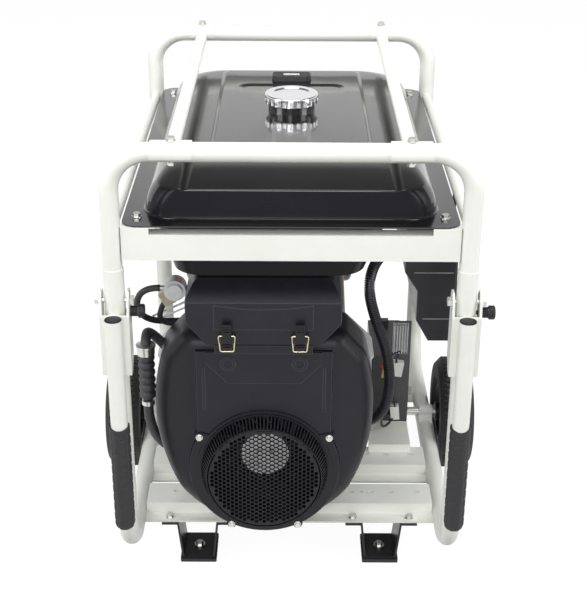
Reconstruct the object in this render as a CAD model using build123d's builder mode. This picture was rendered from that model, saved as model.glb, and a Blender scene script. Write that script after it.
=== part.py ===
from build123d import *
import os
from math import cos, hypot, radians, sin, sqrt, tan

# Portable generator: open tube frame, fuel tank, V-twin engine and alternator on one shaft line.
# Millimetres, +Z up, origin on the floor under the middle of the overall box.
# -Y is the fan end of the engine, +X is the side with the control panel.
os.makedirs("parts", exist_ok=True)

# Overall frame
frame_width = 640.0
frame_length = 850.0
frame_height = 947.0
seam_height = 727.0
rail_top = 119.1

# Tubes
hoop_diameter = 35.0
tube_wall = 1.5
slip_clearance = 0.1
hoop_bend = 72.0
loop_bend = 90.0
plug_depth = 45.0
seat_gap = 0.3
top_rail_spread = 415.0
top_rail_diameter = 25.0
saddle_sheet = 3.0
front_saddle_width = 72.0
rear_saddle_width = 50.0
tank_rail_diameter = 20.0
tank_rail_height = 800.0

# Pressed sheet members
panel_sheet = 3.0
panel_bottom = 747.0
panel_top = 796.0
panel_reach = 10.0
panel_top_flange = 30.0
panel_bottom_flange = 22.0
member_sheet = 4.0
member_top = 125.0
member_depth = 29.0
member_top_flange = 73.0
member_low_flange = 29.0
member_starts = (139.0, 288.0, 640.0)
member_slot = (14.0, 6.0)
member_slot_spots = (-240.0, -150.0, 130.0, 150.0, 172.0, 215.0, 270.0)

# Feet and wheels
foot_spread = 384.0
foot_start = 106.0
foot_length = 84.0
foot_flange_width = 150.0
foot_top_width = 86.0
foot_low_width = 68.0
foot_sheet = 4.0
pad_height = 8.0
pad_margin = 4.0
wheel_diameter = 260.0
tyre_width = 76.0
tyre_corner = 14.0
tyre_lugs = 56
tyre_groove = 5.0
tyre_groove_depth = 5.0
rim_diameter = 140.0
axle_diameter = 20.0
axle_start = 512.0
axle_clearance = 0.05
wheel_gap = 4.0
axle_cap = 6.0

# Fold-down handles
pivot_height = 664.0
pivot_diameter = 10.0
pivot_clearance = 0.05
handle_diameter = 32.0
handle_wall = 2.0
bracket_gap = 0.4
weld_sink = 0.5
bracket_width = 54.0
bracket_sheet = 4.0
bracket_drop = 144.0
handle_drop = 22.0
grip_diameter = 39.0
grip_top = 423.0
grip_bottom = 190.0
lock_drop = 22.0
lock_pin_diameter = 8.0

# Fuel tank
tank_flange_height = 810.0
tank_sheet = 3.0
tank_wall = 2.0
tank_top = 884.0
tank_shoulder = 870.0
tank_bottom = 692.0
tank_body_inset = 36.0
tank_front_inset = 35.0
tank_rear_inset = 60.0
tank_draft = 4.0
tank_slope = 72.0
tank_crease = 6.0
tank_corner = 55.0
tank_flange_corner = 30.0
tank_pan_inset = 10.0
tank_pan_width = 440.0
tank_pan_shift = -35.0
tank_sump_width = 358.0
tank_sump_length = 664.0
tank_sump_shift = (-40.0, -32.0)
tank_bolt_inset = (25.0, 45.0)
tank_tab_width = 50.0
tank_tab_length = 62.0
tank_panel_width = 306.0
tank_panel_start = 160.0
tank_panel_end = 746.0
tank_panel_height = 4.0
tank_panel_corner = 14.0
tank_recess_width = 230.0
tank_recess_depth = 3.0
tank_recess_end = 636.0
tank_recess_margin = 12.0
tank_recess_corner = 26.0
tank_tongue_width = 76.0
tank_tongue_end = 391.0
filler_start = 450.0
filler_radius = 32.0
filler_wall = 4.0
filler_collar = 20.0
filler_neck = 8.0
cap_diameter = 110.0
cap_height = 18.0
cap_flutes = 24
gauge_start = 675.0
gauge_size = (88.0, 44.0, 11.0)
valve_place = (-195.0, 175.0)

# Engine and alternator
engine_x = -50.0
crank_height = 282.0
shaft_diameter = 40.0
shaft_clearance = 0.05
mount_height = 25.0
mount_diameter = 40.0
case_start = 150.0
case_end = 345.0
case_deck = 110.0
bank_angle = 45.0
bore_start = 245.0
fin_width = 110.0
fin_count = 8
fin_pitch = 9.0
fin_thickness = 3.5
head_start = 195.0
head_end = 238.0
cover_end = 268.0
alternator_radius = 115.0
alternator_bore = 72.0
alternator_end = 690.0
end_cover_depth = 40.0
rotor_radius = 70.0

# Cooling fan and its moulded housing
housing_face = 30.0
housing_pad = 8.0
housing_pad_half = 132.0
housing_pad_top = 262.0
housing_pad_margin = 23.0
housing_back = 150.0
housing_wall = 3.0
housing_round = 34.0
housing_corner = 40.0
housing_low = (171.0, -60.0)
housing_wide = (213.0, 110.0)
housing_high = (196.0, 240.0)
housing_top = (150.0, 292.0)
housing_base = -150.0
grille_front = -8.0
grille_foot_radius = 127.0
grille_taper = 15.0
grille_lip = 6.0
grille_ear = 19.0
grille_sheet = 3.0
grille_pitch = 12.0
grille_web = 2.4
grille_slots = 64
grille_slot_width = 5.5
grille_bolt_angles = (30.0, 150.0, 243.0, 297.0)
grille_hole_r = 3.2
grille_boss_r = 10.0
grille_boss_depth = 32.0
fan_radius = 112.0
fan_blades = 16
fan_hub_radius = 52.0
hub_disc_radius = 48.0

# Air filter on top of the fan housing
filter_front = 8.0
filter_back = 120.0
filter_wall = 3.0
filter_lap = 8.0
cover_height = 120.0
cover_half = 145.0
cover_foot = 108.0
cover_crown = 127.0
cover_knees = (44.0, 92.0)
cover_round = 14.0
cover_brow = 88.0
cover_brow_depth = 40.0
plate_half = 92.0
plate_low = 34.0
plate_high = 84.0
plate_arch = 8.0
plate_rise = 1.5
latch_spread = 136.0
latch_gap = 5.0
latch_rise = 6.0
latch_lever_length = 36.0
latch_lever_width = 18.0
ledge_half = 92.0
ledge_height = 18.0
ledge_reach = 18.0
keeper_size = (16.0, 6.0, 5.0)
bail_wire = 3.0
bail_gap = 0.4

# Control box and battery
box_reach = 5.0
box_depth = 100.0
box_start = 190.0
box_length = 430.0
box_bottom = 485.0
box_top = 735.0
box_sheet = 2.0
battery_size = (77.0, 181.0, 167.0)
battery_start = 450.0
battery_edge = 58.0
battery_margin = 8.0
tray_sheet = 3.0
tray_lip = 18.0
tray_gap = 1.0
upright_width = 38.0
upright_height = 260.0

# Values worked out from the sizes above
hoop_r = hoop_diameter / 2
loop_bore = hoop_r + slip_clearance
loop_r = loop_bore + tube_wall
leg_x = frame_width / 2
rail_height = rail_top - loop_r
web_back = loop_r + bracket_gap
web_front = web_back + bracket_sheet
handle_r = handle_diameter / 2
handle_offset = web_front + handle_r - weld_sink
handle_reach = handle_offset + grip_diameter / 2
saddle_bore = hoop_r + 2 * slip_clearance
saddle_r = saddle_bore + saddle_sheet
front_y = -(frame_length + saddle_r - handle_reach) / 2
rear_y = front_y + frame_length
middle_y = (front_y + rear_y) / 2
inner_half = leg_x - hoop_r - 0.5
wheel_r = wheel_diameter / 2
axle_y = front_y + axle_start
engine_y = front_y
box_outer = leg_x + box_reach
box_inner = box_outer - box_depth
fan_opening = grille_foot_radius - 5
grille_face_radius = grille_foot_radius - grille_taper
grille_flange_radius = grille_foot_radius + grille_lip
grille_bolt_circle = grille_foot_radius + grille_ear
housing_roof = crank_height + housing_top[1]
filter_low = housing_roof - filter_lap
cover_top = filter_low + cover_height


def save(piece, name):
    piece.part.label = name
    export_step(piece.part, f"parts/{name}.step")


def hex_bolt(diameter, grip, nut=True):
    """Hexagon bolt on a washer, with or without its nut, the grip below z = 0."""
    across = 1.9 * diameter
    washer = 0.2 * diameter
    with BuildPart() as bolt:
        with BuildSketch():
            Circle(1.15 * diameter)
        extrude(amount=washer)
        with BuildSketch(Plane.XY.offset(washer)):
            RegularPolygon(across / 2, 6)
        extrude(amount=0.7 * diameter)
        with BuildSketch():
            Circle(diameter / 2)
        extrude(amount=-grip)
        if nut:
            with BuildSketch(Plane.XY.offset(-grip)):
                RegularPolygon(across / 2, 6)
            extrude(amount=-0.7 * diameter)
    return bolt.part


# Front and rear hoops: inverted U tubes whose legs plug into the side loops
bolt_hole = 8.4
for name, y in (("front_hoop", front_y), ("rear_hoop", rear_y)):
    with BuildPart() as hoop:
        leg_end = seam_height - plug_depth
        with BuildLine(Plane.XZ.offset(-y)) as route:
            FilletPolyline(
                (-leg_x, leg_end),
                (-leg_x, frame_height),
                (leg_x, frame_height),
                (leg_x, leg_end),
                radius=hoop_bend,
            )
        with BuildSketch(Plane(origin=route.line @ 0, z_dir=route.line % 0)):
            Circle(hoop_r)
            Circle(hoop_r - tube_wall, mode=Mode.SUBTRACT)
        sweep()
        for x in (-top_rail_spread / 2, top_rail_spread / 2):
            with Locations((x, y, frame_height)):
                Cylinder(bolt_hole / 2, 2 * hoop_diameter, mode=Mode.SUBTRACT)
    save(hoop, name)

# Side loops: front leg, bottom rail and rear leg bent from one larger tube
for name, x in (("side_loop_left", -leg_x), ("side_loop_right", leg_x)):
    with BuildPart() as loop:
        with BuildLine(Plane.YZ.offset(x)) as route:
            FilletPolyline(
                (front_y, seam_height),
                (front_y, rail_height),
                (rear_y, rail_height),
                (rear_y, seam_height),
                radius=loop_bend,
            )
        with BuildSketch(Plane(origin=route.line @ 0, z_dir=route.line % 0)):
            Circle(loop_r)
            Circle(loop_bore, mode=Mode.SUBTRACT)
        sweep()
        with Locations(Location((x, front_y, pivot_height), (0, 90, 0))):
            Cylinder(pivot_diameter / 2 + slip_clearance, 3 * loop_r, mode=Mode.SUBTRACT)
        with Locations(Location((x + loop_r, front_y, pivot_height - lock_drop), (0, 90, 0))):
            Cylinder(lock_pin_diameter / 2 + slip_clearance, loop_r, mode=Mode.SUBTRACT)
    save(loop, name)

# Top rails: two tubes along the frame, each with a saddle over the front bar and one over the rear bar
saddle_cut = 8.0
top_rail_r = top_rail_diameter / 2
with BuildPart() as top_rails:
    for x in (-top_rail_spread / 2, top_rail_spread / 2):
        with BuildSketch(Plane.XZ.offset(-front_y)):
            with Locations((x, frame_height)):
                Circle(top_rail_r)
                Circle(top_rail_r - tube_wall, mode=Mode.SUBTRACT)
        extrude(amount=-frame_length)
        for y, width in ((front_y, front_saddle_width), (rear_y, rear_saddle_width)):
            with BuildSketch(Plane.YZ.offset(x - width / 2)):
                with Locations((y, frame_height)):
                    Circle(saddle_r)
                with Locations((y, frame_height - saddle_cut)):
                    Rectangle(3 * saddle_r, saddle_r, align=(Align.CENTER, Align.MAX), mode=Mode.SUBTRACT)
            extrude(amount=width)
            with BuildSketch(Plane.YZ.offset(x - width / 2)):
                with Locations((y, frame_height)):
                    Circle(saddle_bore)
            extrude(amount=width, mode=Mode.SUBTRACT)
            with Locations((x, y, frame_height)):
                Cylinder(bolt_hole / 2, 3 * hoop_diameter, mode=Mode.SUBTRACT)
save(top_rails, "top_rails")

# Cross panels: front and rear channels between the hoop legs, with raised tabs that carry the tank
tank_bolt_x = inner_half - tank_bolt_inset[0]
tank_bolt_ys = (front_y - panel_reach + tank_bolt_inset[1], rear_y + panel_reach - tank_bolt_inset[1])
with BuildPart() as cross_panels:
    for face, inward in ((front_y - panel_reach, 1), (rear_y + panel_reach, -1)):
        with BuildSketch(Plane.YZ.offset(-inner_half)):
            with BuildLine():
                Polyline(
                    (face, panel_bottom),
                    (face, panel_top),
                    (face + inward * panel_top_flange, panel_top),
                    (face + inward * panel_top_flange, panel_top - panel_sheet),
                    (face + inward * panel_sheet, panel_top - panel_sheet),
                    (face + inward * panel_sheet, panel_bottom + panel_sheet),
                    (face + inward * panel_bottom_flange, panel_bottom + panel_sheet),
                    (face + inward * panel_bottom_flange, panel_bottom),
                    close=True,
                )
            make_face()
        extrude(amount=2 * inner_half)
        for x in (-tank_bolt_x, tank_bolt_x):
            with BuildSketch(Plane.YZ.offset(x - tank_tab_width / 2)):
                with BuildLine():
                    Polyline(
                        (face, panel_top),
                        (face, tank_flange_height),
                        (face + inward * tank_tab_length, tank_flange_height),
                        (face + inward * tank_tab_length, tank_flange_height - panel_sheet),
                        (face + inward * panel_sheet, tank_flange_height - panel_sheet),
                        (face + inward * panel_sheet, panel_top),
                        close=True,
                    )
                make_face()
            extrude(amount=tank_tab_width)
    for x in (-tank_bolt_x, tank_bolt_x):
        for y in tank_bolt_ys:
            with Locations((x, y, tank_flange_height)):
                Cylinder(bolt_hole / 2, 4 * panel_sheet, mode=Mode.SUBTRACT)
save(cross_panels, "cross_panels")

# Tank rails: straight side tubes between the front and rear hoop legs
with BuildPart() as tank_rails:
    for x in (-leg_x, leg_x):
        with BuildSketch(Plane.XZ.offset(-(front_y + hoop_r + seat_gap))):
            with Locations((x, tank_rail_height)):
                Circle(tank_rail_diameter / 2)
                Circle(tank_rail_diameter / 2 - tube_wall, mode=Mode.SUBTRACT)
        extrude(amount=-(frame_length - 2 * hoop_r - 2 * seat_gap))
save(tank_rails, "tank_rails")

# Cross members: three Z sections between the bottom rails, slotted for the engine and its feet
member_half = leg_x - loop_r - seat_gap
member_low = member_top - member_depth
with BuildPart() as cross_members:
    for start in member_starts:
        y = front_y + start
        with BuildSketch(Plane.YZ.offset(-member_half)):
            with BuildLine():
                Polyline(
                    (y, member_top),
                    (y + member_top_flange, member_top),
                    (y + member_top_flange, member_top - member_sheet),
                    (y + member_sheet, member_top - member_sheet),
                    (y + member_sheet, member_low),
                    (y - member_low_flange, member_low),
                    (y - member_low_flange, member_low + member_sheet),
                    (y, member_low + member_sheet),
                    close=True,
                )
            make_face()
        extrude(amount=2 * member_half)
        with BuildSketch(Plane.XY.offset(member_top)):
            with Locations(*[(x, y + 0.6 * member_top_flange) for x in member_slot_spots]):
                Rectangle(*member_slot)
        extrude(amount=-member_sheet, mode=Mode.SUBTRACT)
    for x in (-foot_spread / 2, foot_spread / 2):
        for reach in (-1, 1):
            foot_bolt_x = x + reach * (foot_flange_width + foot_top_width) / 4
            with Locations((foot_bolt_x, front_y + member_starts[0] - member_low_flange / 2, member_low)):
                Cylinder(bolt_hole / 2, 4 * member_sheet, mode=Mode.SUBTRACT)
save(cross_members, "cross_members")

# Front feet: hat-shaped brackets under the first cross member, each on a ribbed rubber sole
foot_flange_z = member_low
with BuildPart() as foot_brackets:
    for x in (-foot_spread / 2, foot_spread / 2):
        flange = foot_flange_width / 2
        wide = foot_top_width / 2
        narrow = foot_low_width / 2
        with BuildSketch(Plane.XZ.offset(-(front_y + foot_start))):
            with BuildLine():
                Polyline(
                    (x - flange, foot_flange_z),
                    (x - wide + foot_sheet, foot_flange_z),
                    (x - narrow + foot_sheet, pad_height + foot_sheet),
                    (x + narrow - foot_sheet, pad_height + foot_sheet),
                    (x + wide - foot_sheet, foot_flange_z),
                    (x + flange, foot_flange_z),
                    (x + flange, foot_flange_z - foot_sheet),
                    (x + wide, foot_flange_z - foot_sheet),
                    (x + narrow, pad_height),
                    (x - narrow, pad_height),
                    (x - wide, foot_flange_z - foot_sheet),
                    (x - flange, foot_flange_z - foot_sheet),
                    close=True,
                )
            make_face()
        extrude(amount=-foot_length)
        for reach in (-1, 1):
            foot_bolt_x = x + reach * (foot_flange_width + foot_top_width) / 4
            with Locations((foot_bolt_x, front_y + member_starts[0] - member_low_flange / 2, foot_flange_z)):
                Cylinder(bolt_hole / 2, 4 * foot_sheet, mode=Mode.SUBTRACT)
save(foot_brackets, "foot_brackets")

pad_groove = 3.0
pad_grooves = 5
pad_length = foot_length + 2 * pad_margin
with BuildPart() as foot_pads:
    for x in (-foot_spread / 2, foot_spread / 2):
        with BuildSketch():
            with Locations((x, front_y + foot_start + foot_length / 2)):
                RectangleRounded(foot_low_width + 2 * pad_margin, pad_length, pad_margin)
        extrude(amount=pad_height)
        with Locations((x, front_y + foot_start + foot_length / 2)):
            with GridLocations(0, pad_length / (pad_grooves + 1), 1, pad_grooves):
                Box(2 * foot_low_width, 2 * pad_groove, 2 * pad_groove, mode=Mode.SUBTRACT)
save(foot_pads, "foot_pads")

# Axle across the rails, with collars inside the wheels and caps outside them
axle_r = axle_diameter / 2
hub_inner = leg_x + loop_r + wheel_gap
hub_outer = hub_inner + tyre_width + 2
axle_half = hub_outer + 2 * seat_gap + axle_cap
with BuildPart() as axle:
    with BuildSketch(Plane.YZ.offset(-axle_half)):
        with Locations((axle_y, wheel_r)):
            Circle(axle_r)
    extrude(amount=2 * axle_half)
    collar = wheel_gap - 2 * seat_gap
    for start, width in (
        (-axle_half, axle_cap),
        (axle_half - axle_cap, axle_cap),
        (-hub_inner + seat_gap, collar),
        (hub_inner - seat_gap - collar, collar),
    ):
        with BuildSketch(Plane.YZ.offset(start)):
            with Locations((axle_y, wheel_r)):
                Circle(1.5 * axle_r)
        extrude(amount=width)
save(axle, "axle")

# Axle brackets: saddles welded on the bottom rails
bracket_foot = 66.0
bracket_crown = 16.0
with BuildPart() as axle_brackets:
    for x in (-leg_x, leg_x):
        with BuildSketch(Plane.YZ.offset(x - loop_r + 4)):
            with BuildLine():
                Polyline(
                    (axle_y - bracket_foot / 2, rail_height),
                    (axle_y - bracket_crown, wheel_r),
                )
                ThreePointArc(
                    (axle_y - bracket_crown, wheel_r),
                    (axle_y, wheel_r + bracket_crown),
                    (axle_y + bracket_crown, wheel_r),
                )
                Polyline(
                    (axle_y + bracket_crown, wheel_r),
                    (axle_y + bracket_foot / 2, rail_height),
                    (axle_y - bracket_foot / 2, rail_height),
                )
            make_face()
        extrude(amount=2 * loop_r - 8)
        with BuildSketch(Plane.XZ.offset(-(axle_y - bracket_foot))):
            with Locations((x, rail_height)):
                Circle(loop_r + slip_clearance)
        extrude(amount=-2 * bracket_foot, mode=Mode.SUBTRACT)
        with Locations(Location((x, axle_y, wheel_r), (0, 90, 0))):
            Cylinder(axle_r + slip_clearance, 3 * loop_r, mode=Mode.SUBTRACT)
save(axle_brackets, "axle_brackets")

# Wheels: pressed rim with a long hub, and a tyre with cross lugs
rim_r = rim_diameter / 2
rim_sheet = 6.0
hub_r = 22.0
rim_holes = 6
tyre_middle = (hub_inner + hub_outer) / 2
for side, name in ((-1, "left"), (1, "right")):
    with BuildPart() as rim:
        middle = side * tyre_middle
        disc = rim_sheet / 2
        half = tyre_width / 2 - 8
        with BuildSketch(Plane.XZ.offset(-axle_y)):
            with BuildLine():
                Polyline(
                    (middle - half, wheel_r + rim_r),
                    (middle + half, wheel_r + rim_r),
                    (middle + half, wheel_r + rim_r - rim_sheet),
                    (middle + disc, wheel_r + rim_r - 2 * rim_sheet),
                    (middle + disc, wheel_r + hub_r),
                    (side * hub_outer if side > 0 else -hub_inner, wheel_r + hub_r),
                    (side * hub_outer if side > 0 else -hub_inner, wheel_r + axle_r + axle_clearance),
                    (hub_inner if side > 0 else -hub_outer, wheel_r + axle_r + axle_clearance),
                    (hub_inner if side > 0 else -hub_outer, wheel_r + hub_r),
                    (middle - disc, wheel_r + hub_r),
                    (middle - disc, wheel_r + rim_r - 2 * rim_sheet),
                    (middle - half, wheel_r + rim_r - rim_sheet),
                    close=True,
                )
            make_face()
        revolve(axis=Axis((0, axle_y, wheel_r), (1, 0, 0)))
        with Locations(Plane((middle, axle_y, wheel_r), x_dir=(0, 1, 0), z_dir=(1, 0, 0))):
            with PolarLocations((rim_r + hub_r) / 2 - rim_sheet / 2, rim_holes):
                Cylinder(0.22 * rim_r, 4 * rim_sheet, mode=Mode.SUBTRACT)
    save(rim, f"rim_{name}")
    with BuildPart() as tyre:
        with BuildSketch(Plane.XZ.offset(-axle_y)) as tyre_section:
            with Locations((middle, 2 * wheel_r)):
                Rectangle(tyre_width, wheel_r - rim_r - slip_clearance, align=(Align.CENTER, Align.MAX))
            chamfer(tyre_section.vertices(), tyre_corner)
        revolve(axis=Axis((0, axle_y, wheel_r), (1, 0, 0)))
        with Locations(Plane((middle, axle_y, wheel_r), x_dir=(0, 0, -1), z_dir=(1, 0, 0))):
            with PolarLocations(wheel_r, tyre_lugs, start_angle=180 / tyre_lugs):
                Box(2 * tyre_groove_depth, tyre_groove, 2 * tyre_width, mode=Mode.SUBTRACT)
    save(tyre, f"tyre_{name}")

# Fold-down handles: a U bracket round the leg, a tube welded to its web and a moulded grip
bracket_half = bracket_width / 2
lock_barrel = 15.0
lock_barrel_r = 8.5
lock_knob_r = 13.0
lock_knob = 11.0
lock_gap = 0.4
for name, x in (("left", -leg_x), ("right", leg_x)):
    with BuildPart() as handle:
        for start in (x - bracket_half, x + bracket_half - bracket_sheet):
            with BuildSketch(Plane.YZ.offset(start)):
                with BuildLine():
                    Polyline(
                        (front_y - web_front, pivot_height - handle_drop),
                        (front_y - 18, pivot_height + 6),
                        (front_y - 8, pivot_height + 20),
                        (front_y + 10, pivot_height + 20),
                        (front_y + 16, pivot_height + 8),
                        (front_y + 16, pivot_height - bracket_drop + 30),
                        (front_y - 8, pivot_height - bracket_drop),
                        (front_y - web_front, pivot_height - bracket_drop),
                        close=True,
                    )
                make_face()
            extrude(amount=bracket_sheet)
        with BuildSketch(Plane.XZ.offset(-(front_y - web_front))):
            with Locations((x, pivot_height - handle_drop)):
                Rectangle(bracket_width, bracket_drop - handle_drop, align=(Align.CENTER, Align.MAX))
        extrude(amount=-bracket_sheet)
        with BuildSketch(Plane.XY.offset(pivot_height - handle_drop)):
            with Locations((x, front_y - handle_offset)):
                Circle(handle_r)
        extrude(amount=-(pivot_height - handle_drop - grip_bottom - 2 * bracket_sheet))
        with BuildSketch(Plane.XY.offset(pivot_height - handle_drop - handle_wall)):
            with Locations((x, front_y - handle_offset)):
                Circle(handle_r - handle_wall)
        extrude(amount=-(pivot_height - grip_bottom), mode=Mode.SUBTRACT)
        with Locations(Location((x, front_y, pivot_height), (0, 90, 0))):
            Cylinder(pivot_diameter / 2 + pivot_clearance, 2 * bracket_width, mode=Mode.SUBTRACT)
        with BuildSketch(Plane.YZ.offset(x + bracket_half)):
            with Locations((front_y, pivot_height - lock_drop)):
                Circle(lock_barrel_r)
        extrude(amount=lock_barrel)
        with BuildSketch(Plane.YZ.offset(x + bracket_half - bracket_sheet)):
            with Locations((front_y, pivot_height - lock_drop)):
                Circle(lock_pin_diameter / 2 + slip_clearance)
        extrude(amount=lock_barrel + bracket_sheet, mode=Mode.SUBTRACT)
    save(handle, f"handle_{name}")

    with BuildPart() as grip:
        with BuildSketch(Plane.XY.offset(grip_bottom)):
            with Locations((x, front_y - handle_offset)):
                Circle(grip_diameter / 2)
        extrude(amount=grip_top - grip_bottom)
        fillet(grip.edges().group_by(Axis.Z)[0], 12)
        fillet(grip.edges().group_by(Axis.Z)[-1], 2)
        with BuildSketch(Plane.XY.offset(grip_top)):
            with Locations((x, front_y - handle_offset)):
                Circle(handle_r + slip_clearance)
        extrude(amount=-(grip_top - grip_bottom - 2 * bracket_sheet + seat_gap), mode=Mode.SUBTRACT)
    save(grip, f"grip_{name}")

    with BuildPart() as lock_pin:
        tip = x + loop_r + lock_gap
        knob = x + bracket_half + lock_barrel + lock_gap
        with BuildSketch(Plane.YZ.offset(tip)):
            with Locations((front_y, pivot_height - lock_drop)):
                Circle(lock_pin_diameter / 2)
        extrude(amount=knob - tip)
        with BuildSketch(Plane.YZ.offset(knob)):
            with Locations((front_y, pivot_height - lock_drop)):
                Circle(lock_knob_r)
        extrude(amount=lock_knob)
        fillet(lock_pin.edges().group_by(Axis.X)[-1], 3)
    save(lock_pin, f"lock_pin_{name}")

# Frame bolts: saddle bolts, tank bolts, foot bolts and the two handle pivots
saddle_bolt = hex_bolt(8, saddle_sheet + 2 * hoop_r + 4 * slip_clearance)
tank_bolt = hex_bolt(8, tank_sheet + panel_sheet)
foot_bolt = hex_bolt(8, member_sheet + foot_sheet)
pivot_bolt = hex_bolt(pivot_diameter, bracket_width + 2 * seat_gap)
with BuildPart() as frame_bolts:
    for x in (-top_rail_spread / 2, top_rail_spread / 2):
        with Locations((x, front_y, frame_height + saddle_r), (x, rear_y, frame_height + saddle_r)):
            add(saddle_bolt)
    for x in (-tank_bolt_x, tank_bolt_x):
        with Locations(*[(x, y, tank_flange_height + tank_sheet) for y in tank_bolt_ys]):
            add(tank_bolt)
    for x in (-foot_spread / 2, foot_spread / 2):
        for reach in (-1, 1):
            foot_bolt_x = x + reach * (foot_flange_width + foot_top_width) / 4
            foot_bolt_y = front_y + member_starts[0] - member_low_flange / 2
            with Locations((foot_bolt_x, foot_bolt_y, member_low + member_sheet)):
                add(foot_bolt)
    for side in (-1, 1):
        head = side * (leg_x + bracket_half + seat_gap)
        with Locations(Location((head, front_y, pivot_height), (0, 90 * side, 0))):
            add(pivot_bolt)
save(frame_bolts, "frame_bolts")

# Fuel tank: two pressed halves meeting in a flange, hollow, with a filler neck and a sump below
flange_length = frame_length + 2 * panel_reach
body_width = 2 * (inner_half - tank_body_inset)
body_length = flange_length - tank_front_inset - tank_rear_inset
body_y = middle_y + (tank_front_inset - tank_rear_inset) / 2
pan_length = body_length - 2 * tank_pan_inset
sump_y = body_y + tank_sump_shift[1]
filler_y = front_y + filler_start
flange_top = tank_flange_height + tank_sheet
panel_level = tank_top + tank_panel_height
seat_top = tank_top + filler_collar
neck_top = seat_top + filler_neck


def tank_dome(low, inset):
    """Upper half of the tank from a level up: drafted walls, a crease and a shoulder up to a flat top."""
    crease_level = tank_shoulder - inset
    with BuildPart() as dome:
        with BuildSketch(Plane.XY.offset(low)):
            with Locations((0, body_y)):
                RectangleRounded(body_width - 2 * inset, body_length - 2 * inset, tank_corner - inset)
        extrude(amount=crease_level - low, taper=tank_draft)
        shoulder = dome.faces().sort_by(Axis.Z)[-1]
        extrude(shoulder, amount=tank_top - tank_shoulder, taper=tank_slope)
        fillet(dome.edges().filter_by_position(Axis.Z, crease_level - 0.1, crease_level + 0.1), tank_crease)
    return dome.part


def tank_pan(high, inset):
    """Lower half of the tank: a hopper from a level down to the sump floor."""
    corner = tank_corner - inset
    with BuildPart() as pan:
        with BuildSketch(Plane.XY.offset(high)):
            with Locations((tank_pan_shift, body_y)):
                RectangleRounded(tank_pan_width - 2 * inset, pan_length - 2 * inset, corner)
        with BuildSketch(Plane.XY.offset(tank_bottom + inset)):
            with Locations((tank_sump_shift[0], sump_y)):
                RectangleRounded(tank_sump_width - 2 * inset, tank_sump_length - 2 * inset, corner)
        loft(ruled=True)
    return pan.part


tank_outside = tank_dome(tank_flange_height, 0)
tank_hollow = tank_dome(flange_top, tank_wall)
pan_outside = tank_pan(tank_flange_height, 0)
pan_hollow = tank_pan(flange_top, tank_wall)
with BuildPart() as fuel_tank:
    with BuildSketch(Plane.XY.offset(tank_flange_height)):
        with Locations((0, middle_y)):
            RectangleRounded(2 * inner_half, flange_length, tank_flange_corner)
    extrude(amount=tank_sheet)
    add(tank_outside)
    add(pan_outside)
    with BuildSketch(Plane.XY.offset(tank_top)):
        with Locations((0, front_y + (tank_panel_start + tank_panel_end) / 2)):
            RectangleRounded(tank_panel_width, tank_panel_end - tank_panel_start, tank_panel_corner)
    extrude(amount=tank_panel_height, taper=40)
    recess_start = tank_panel_start + tank_recess_margin
    with BuildSketch(Plane.XY.offset(panel_level)):
        with Locations((0, front_y + (recess_start + tank_recess_end) / 2)):
            RectangleRounded(tank_recess_width, tank_recess_end - recess_start, tank_recess_corner)
    extrude(amount=-tank_recess_depth, taper=20, mode=Mode.SUBTRACT)
    with BuildSketch(Plane.XY.offset(panel_level - tank_recess_depth)):
        tongue_length = tank_tongue_end - recess_start - tank_recess_depth
        with Locations((0, front_y + tank_tongue_end)):
            Rectangle(tank_tongue_width, tongue_length, align=(Align.CENTER, Align.MAX))
            Circle(tank_tongue_width / 2)
    extrude(amount=tank_recess_depth, taper=25)
    with BuildSketch(Plane.XY.offset(tank_top)):
        with Locations((0, filler_y)):
            Circle(1.5 * filler_radius)
    extrude(amount=filler_collar)
    with BuildSketch(Plane.XY.offset(seat_top)):
        with Locations((0, filler_y)):
            Circle(filler_radius)
    extrude(amount=filler_neck)
    add(tank_hollow, mode=Mode.SUBTRACT)
    add(pan_hollow, mode=Mode.SUBTRACT)
    with BuildSketch(Plane.XY.offset(neck_top)):
        with Locations((0, filler_y)):
            Circle(filler_radius - filler_wall)
    extrude(amount=-(neck_top - tank_shoulder), mode=Mode.SUBTRACT)
    for x in (-tank_bolt_x, tank_bolt_x):
        with Locations(*[(x, y, tank_flange_height) for y in tank_bolt_ys]):
            Cylinder(bolt_hole / 2, 4 * tank_sheet, mode=Mode.SUBTRACT)
save(fuel_tank, "fuel_tank")

# Fuel gauge on the tank top, with a window, and the fluted filler cap
gauge_window = (38.0, 16.0, 2.0)
with BuildPart() as fuel_gauge:
    with BuildSketch(Plane.XY.offset(panel_level)):
        with Locations((0, front_y + gauge_start)):
            RectangleRounded(gauge_size[0], gauge_size[1], 12)
    extrude(amount=gauge_size[2], taper=14)
    with BuildSketch(Plane.XY.offset(panel_level + gauge_size[2])):
        with Locations((0, front_y + gauge_start)):
            RectangleRounded(gauge_window[0], gauge_window[1], 3)
    extrude(amount=-gauge_window[2], mode=Mode.SUBTRACT)
save(fuel_gauge, "fuel_gauge")

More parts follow.
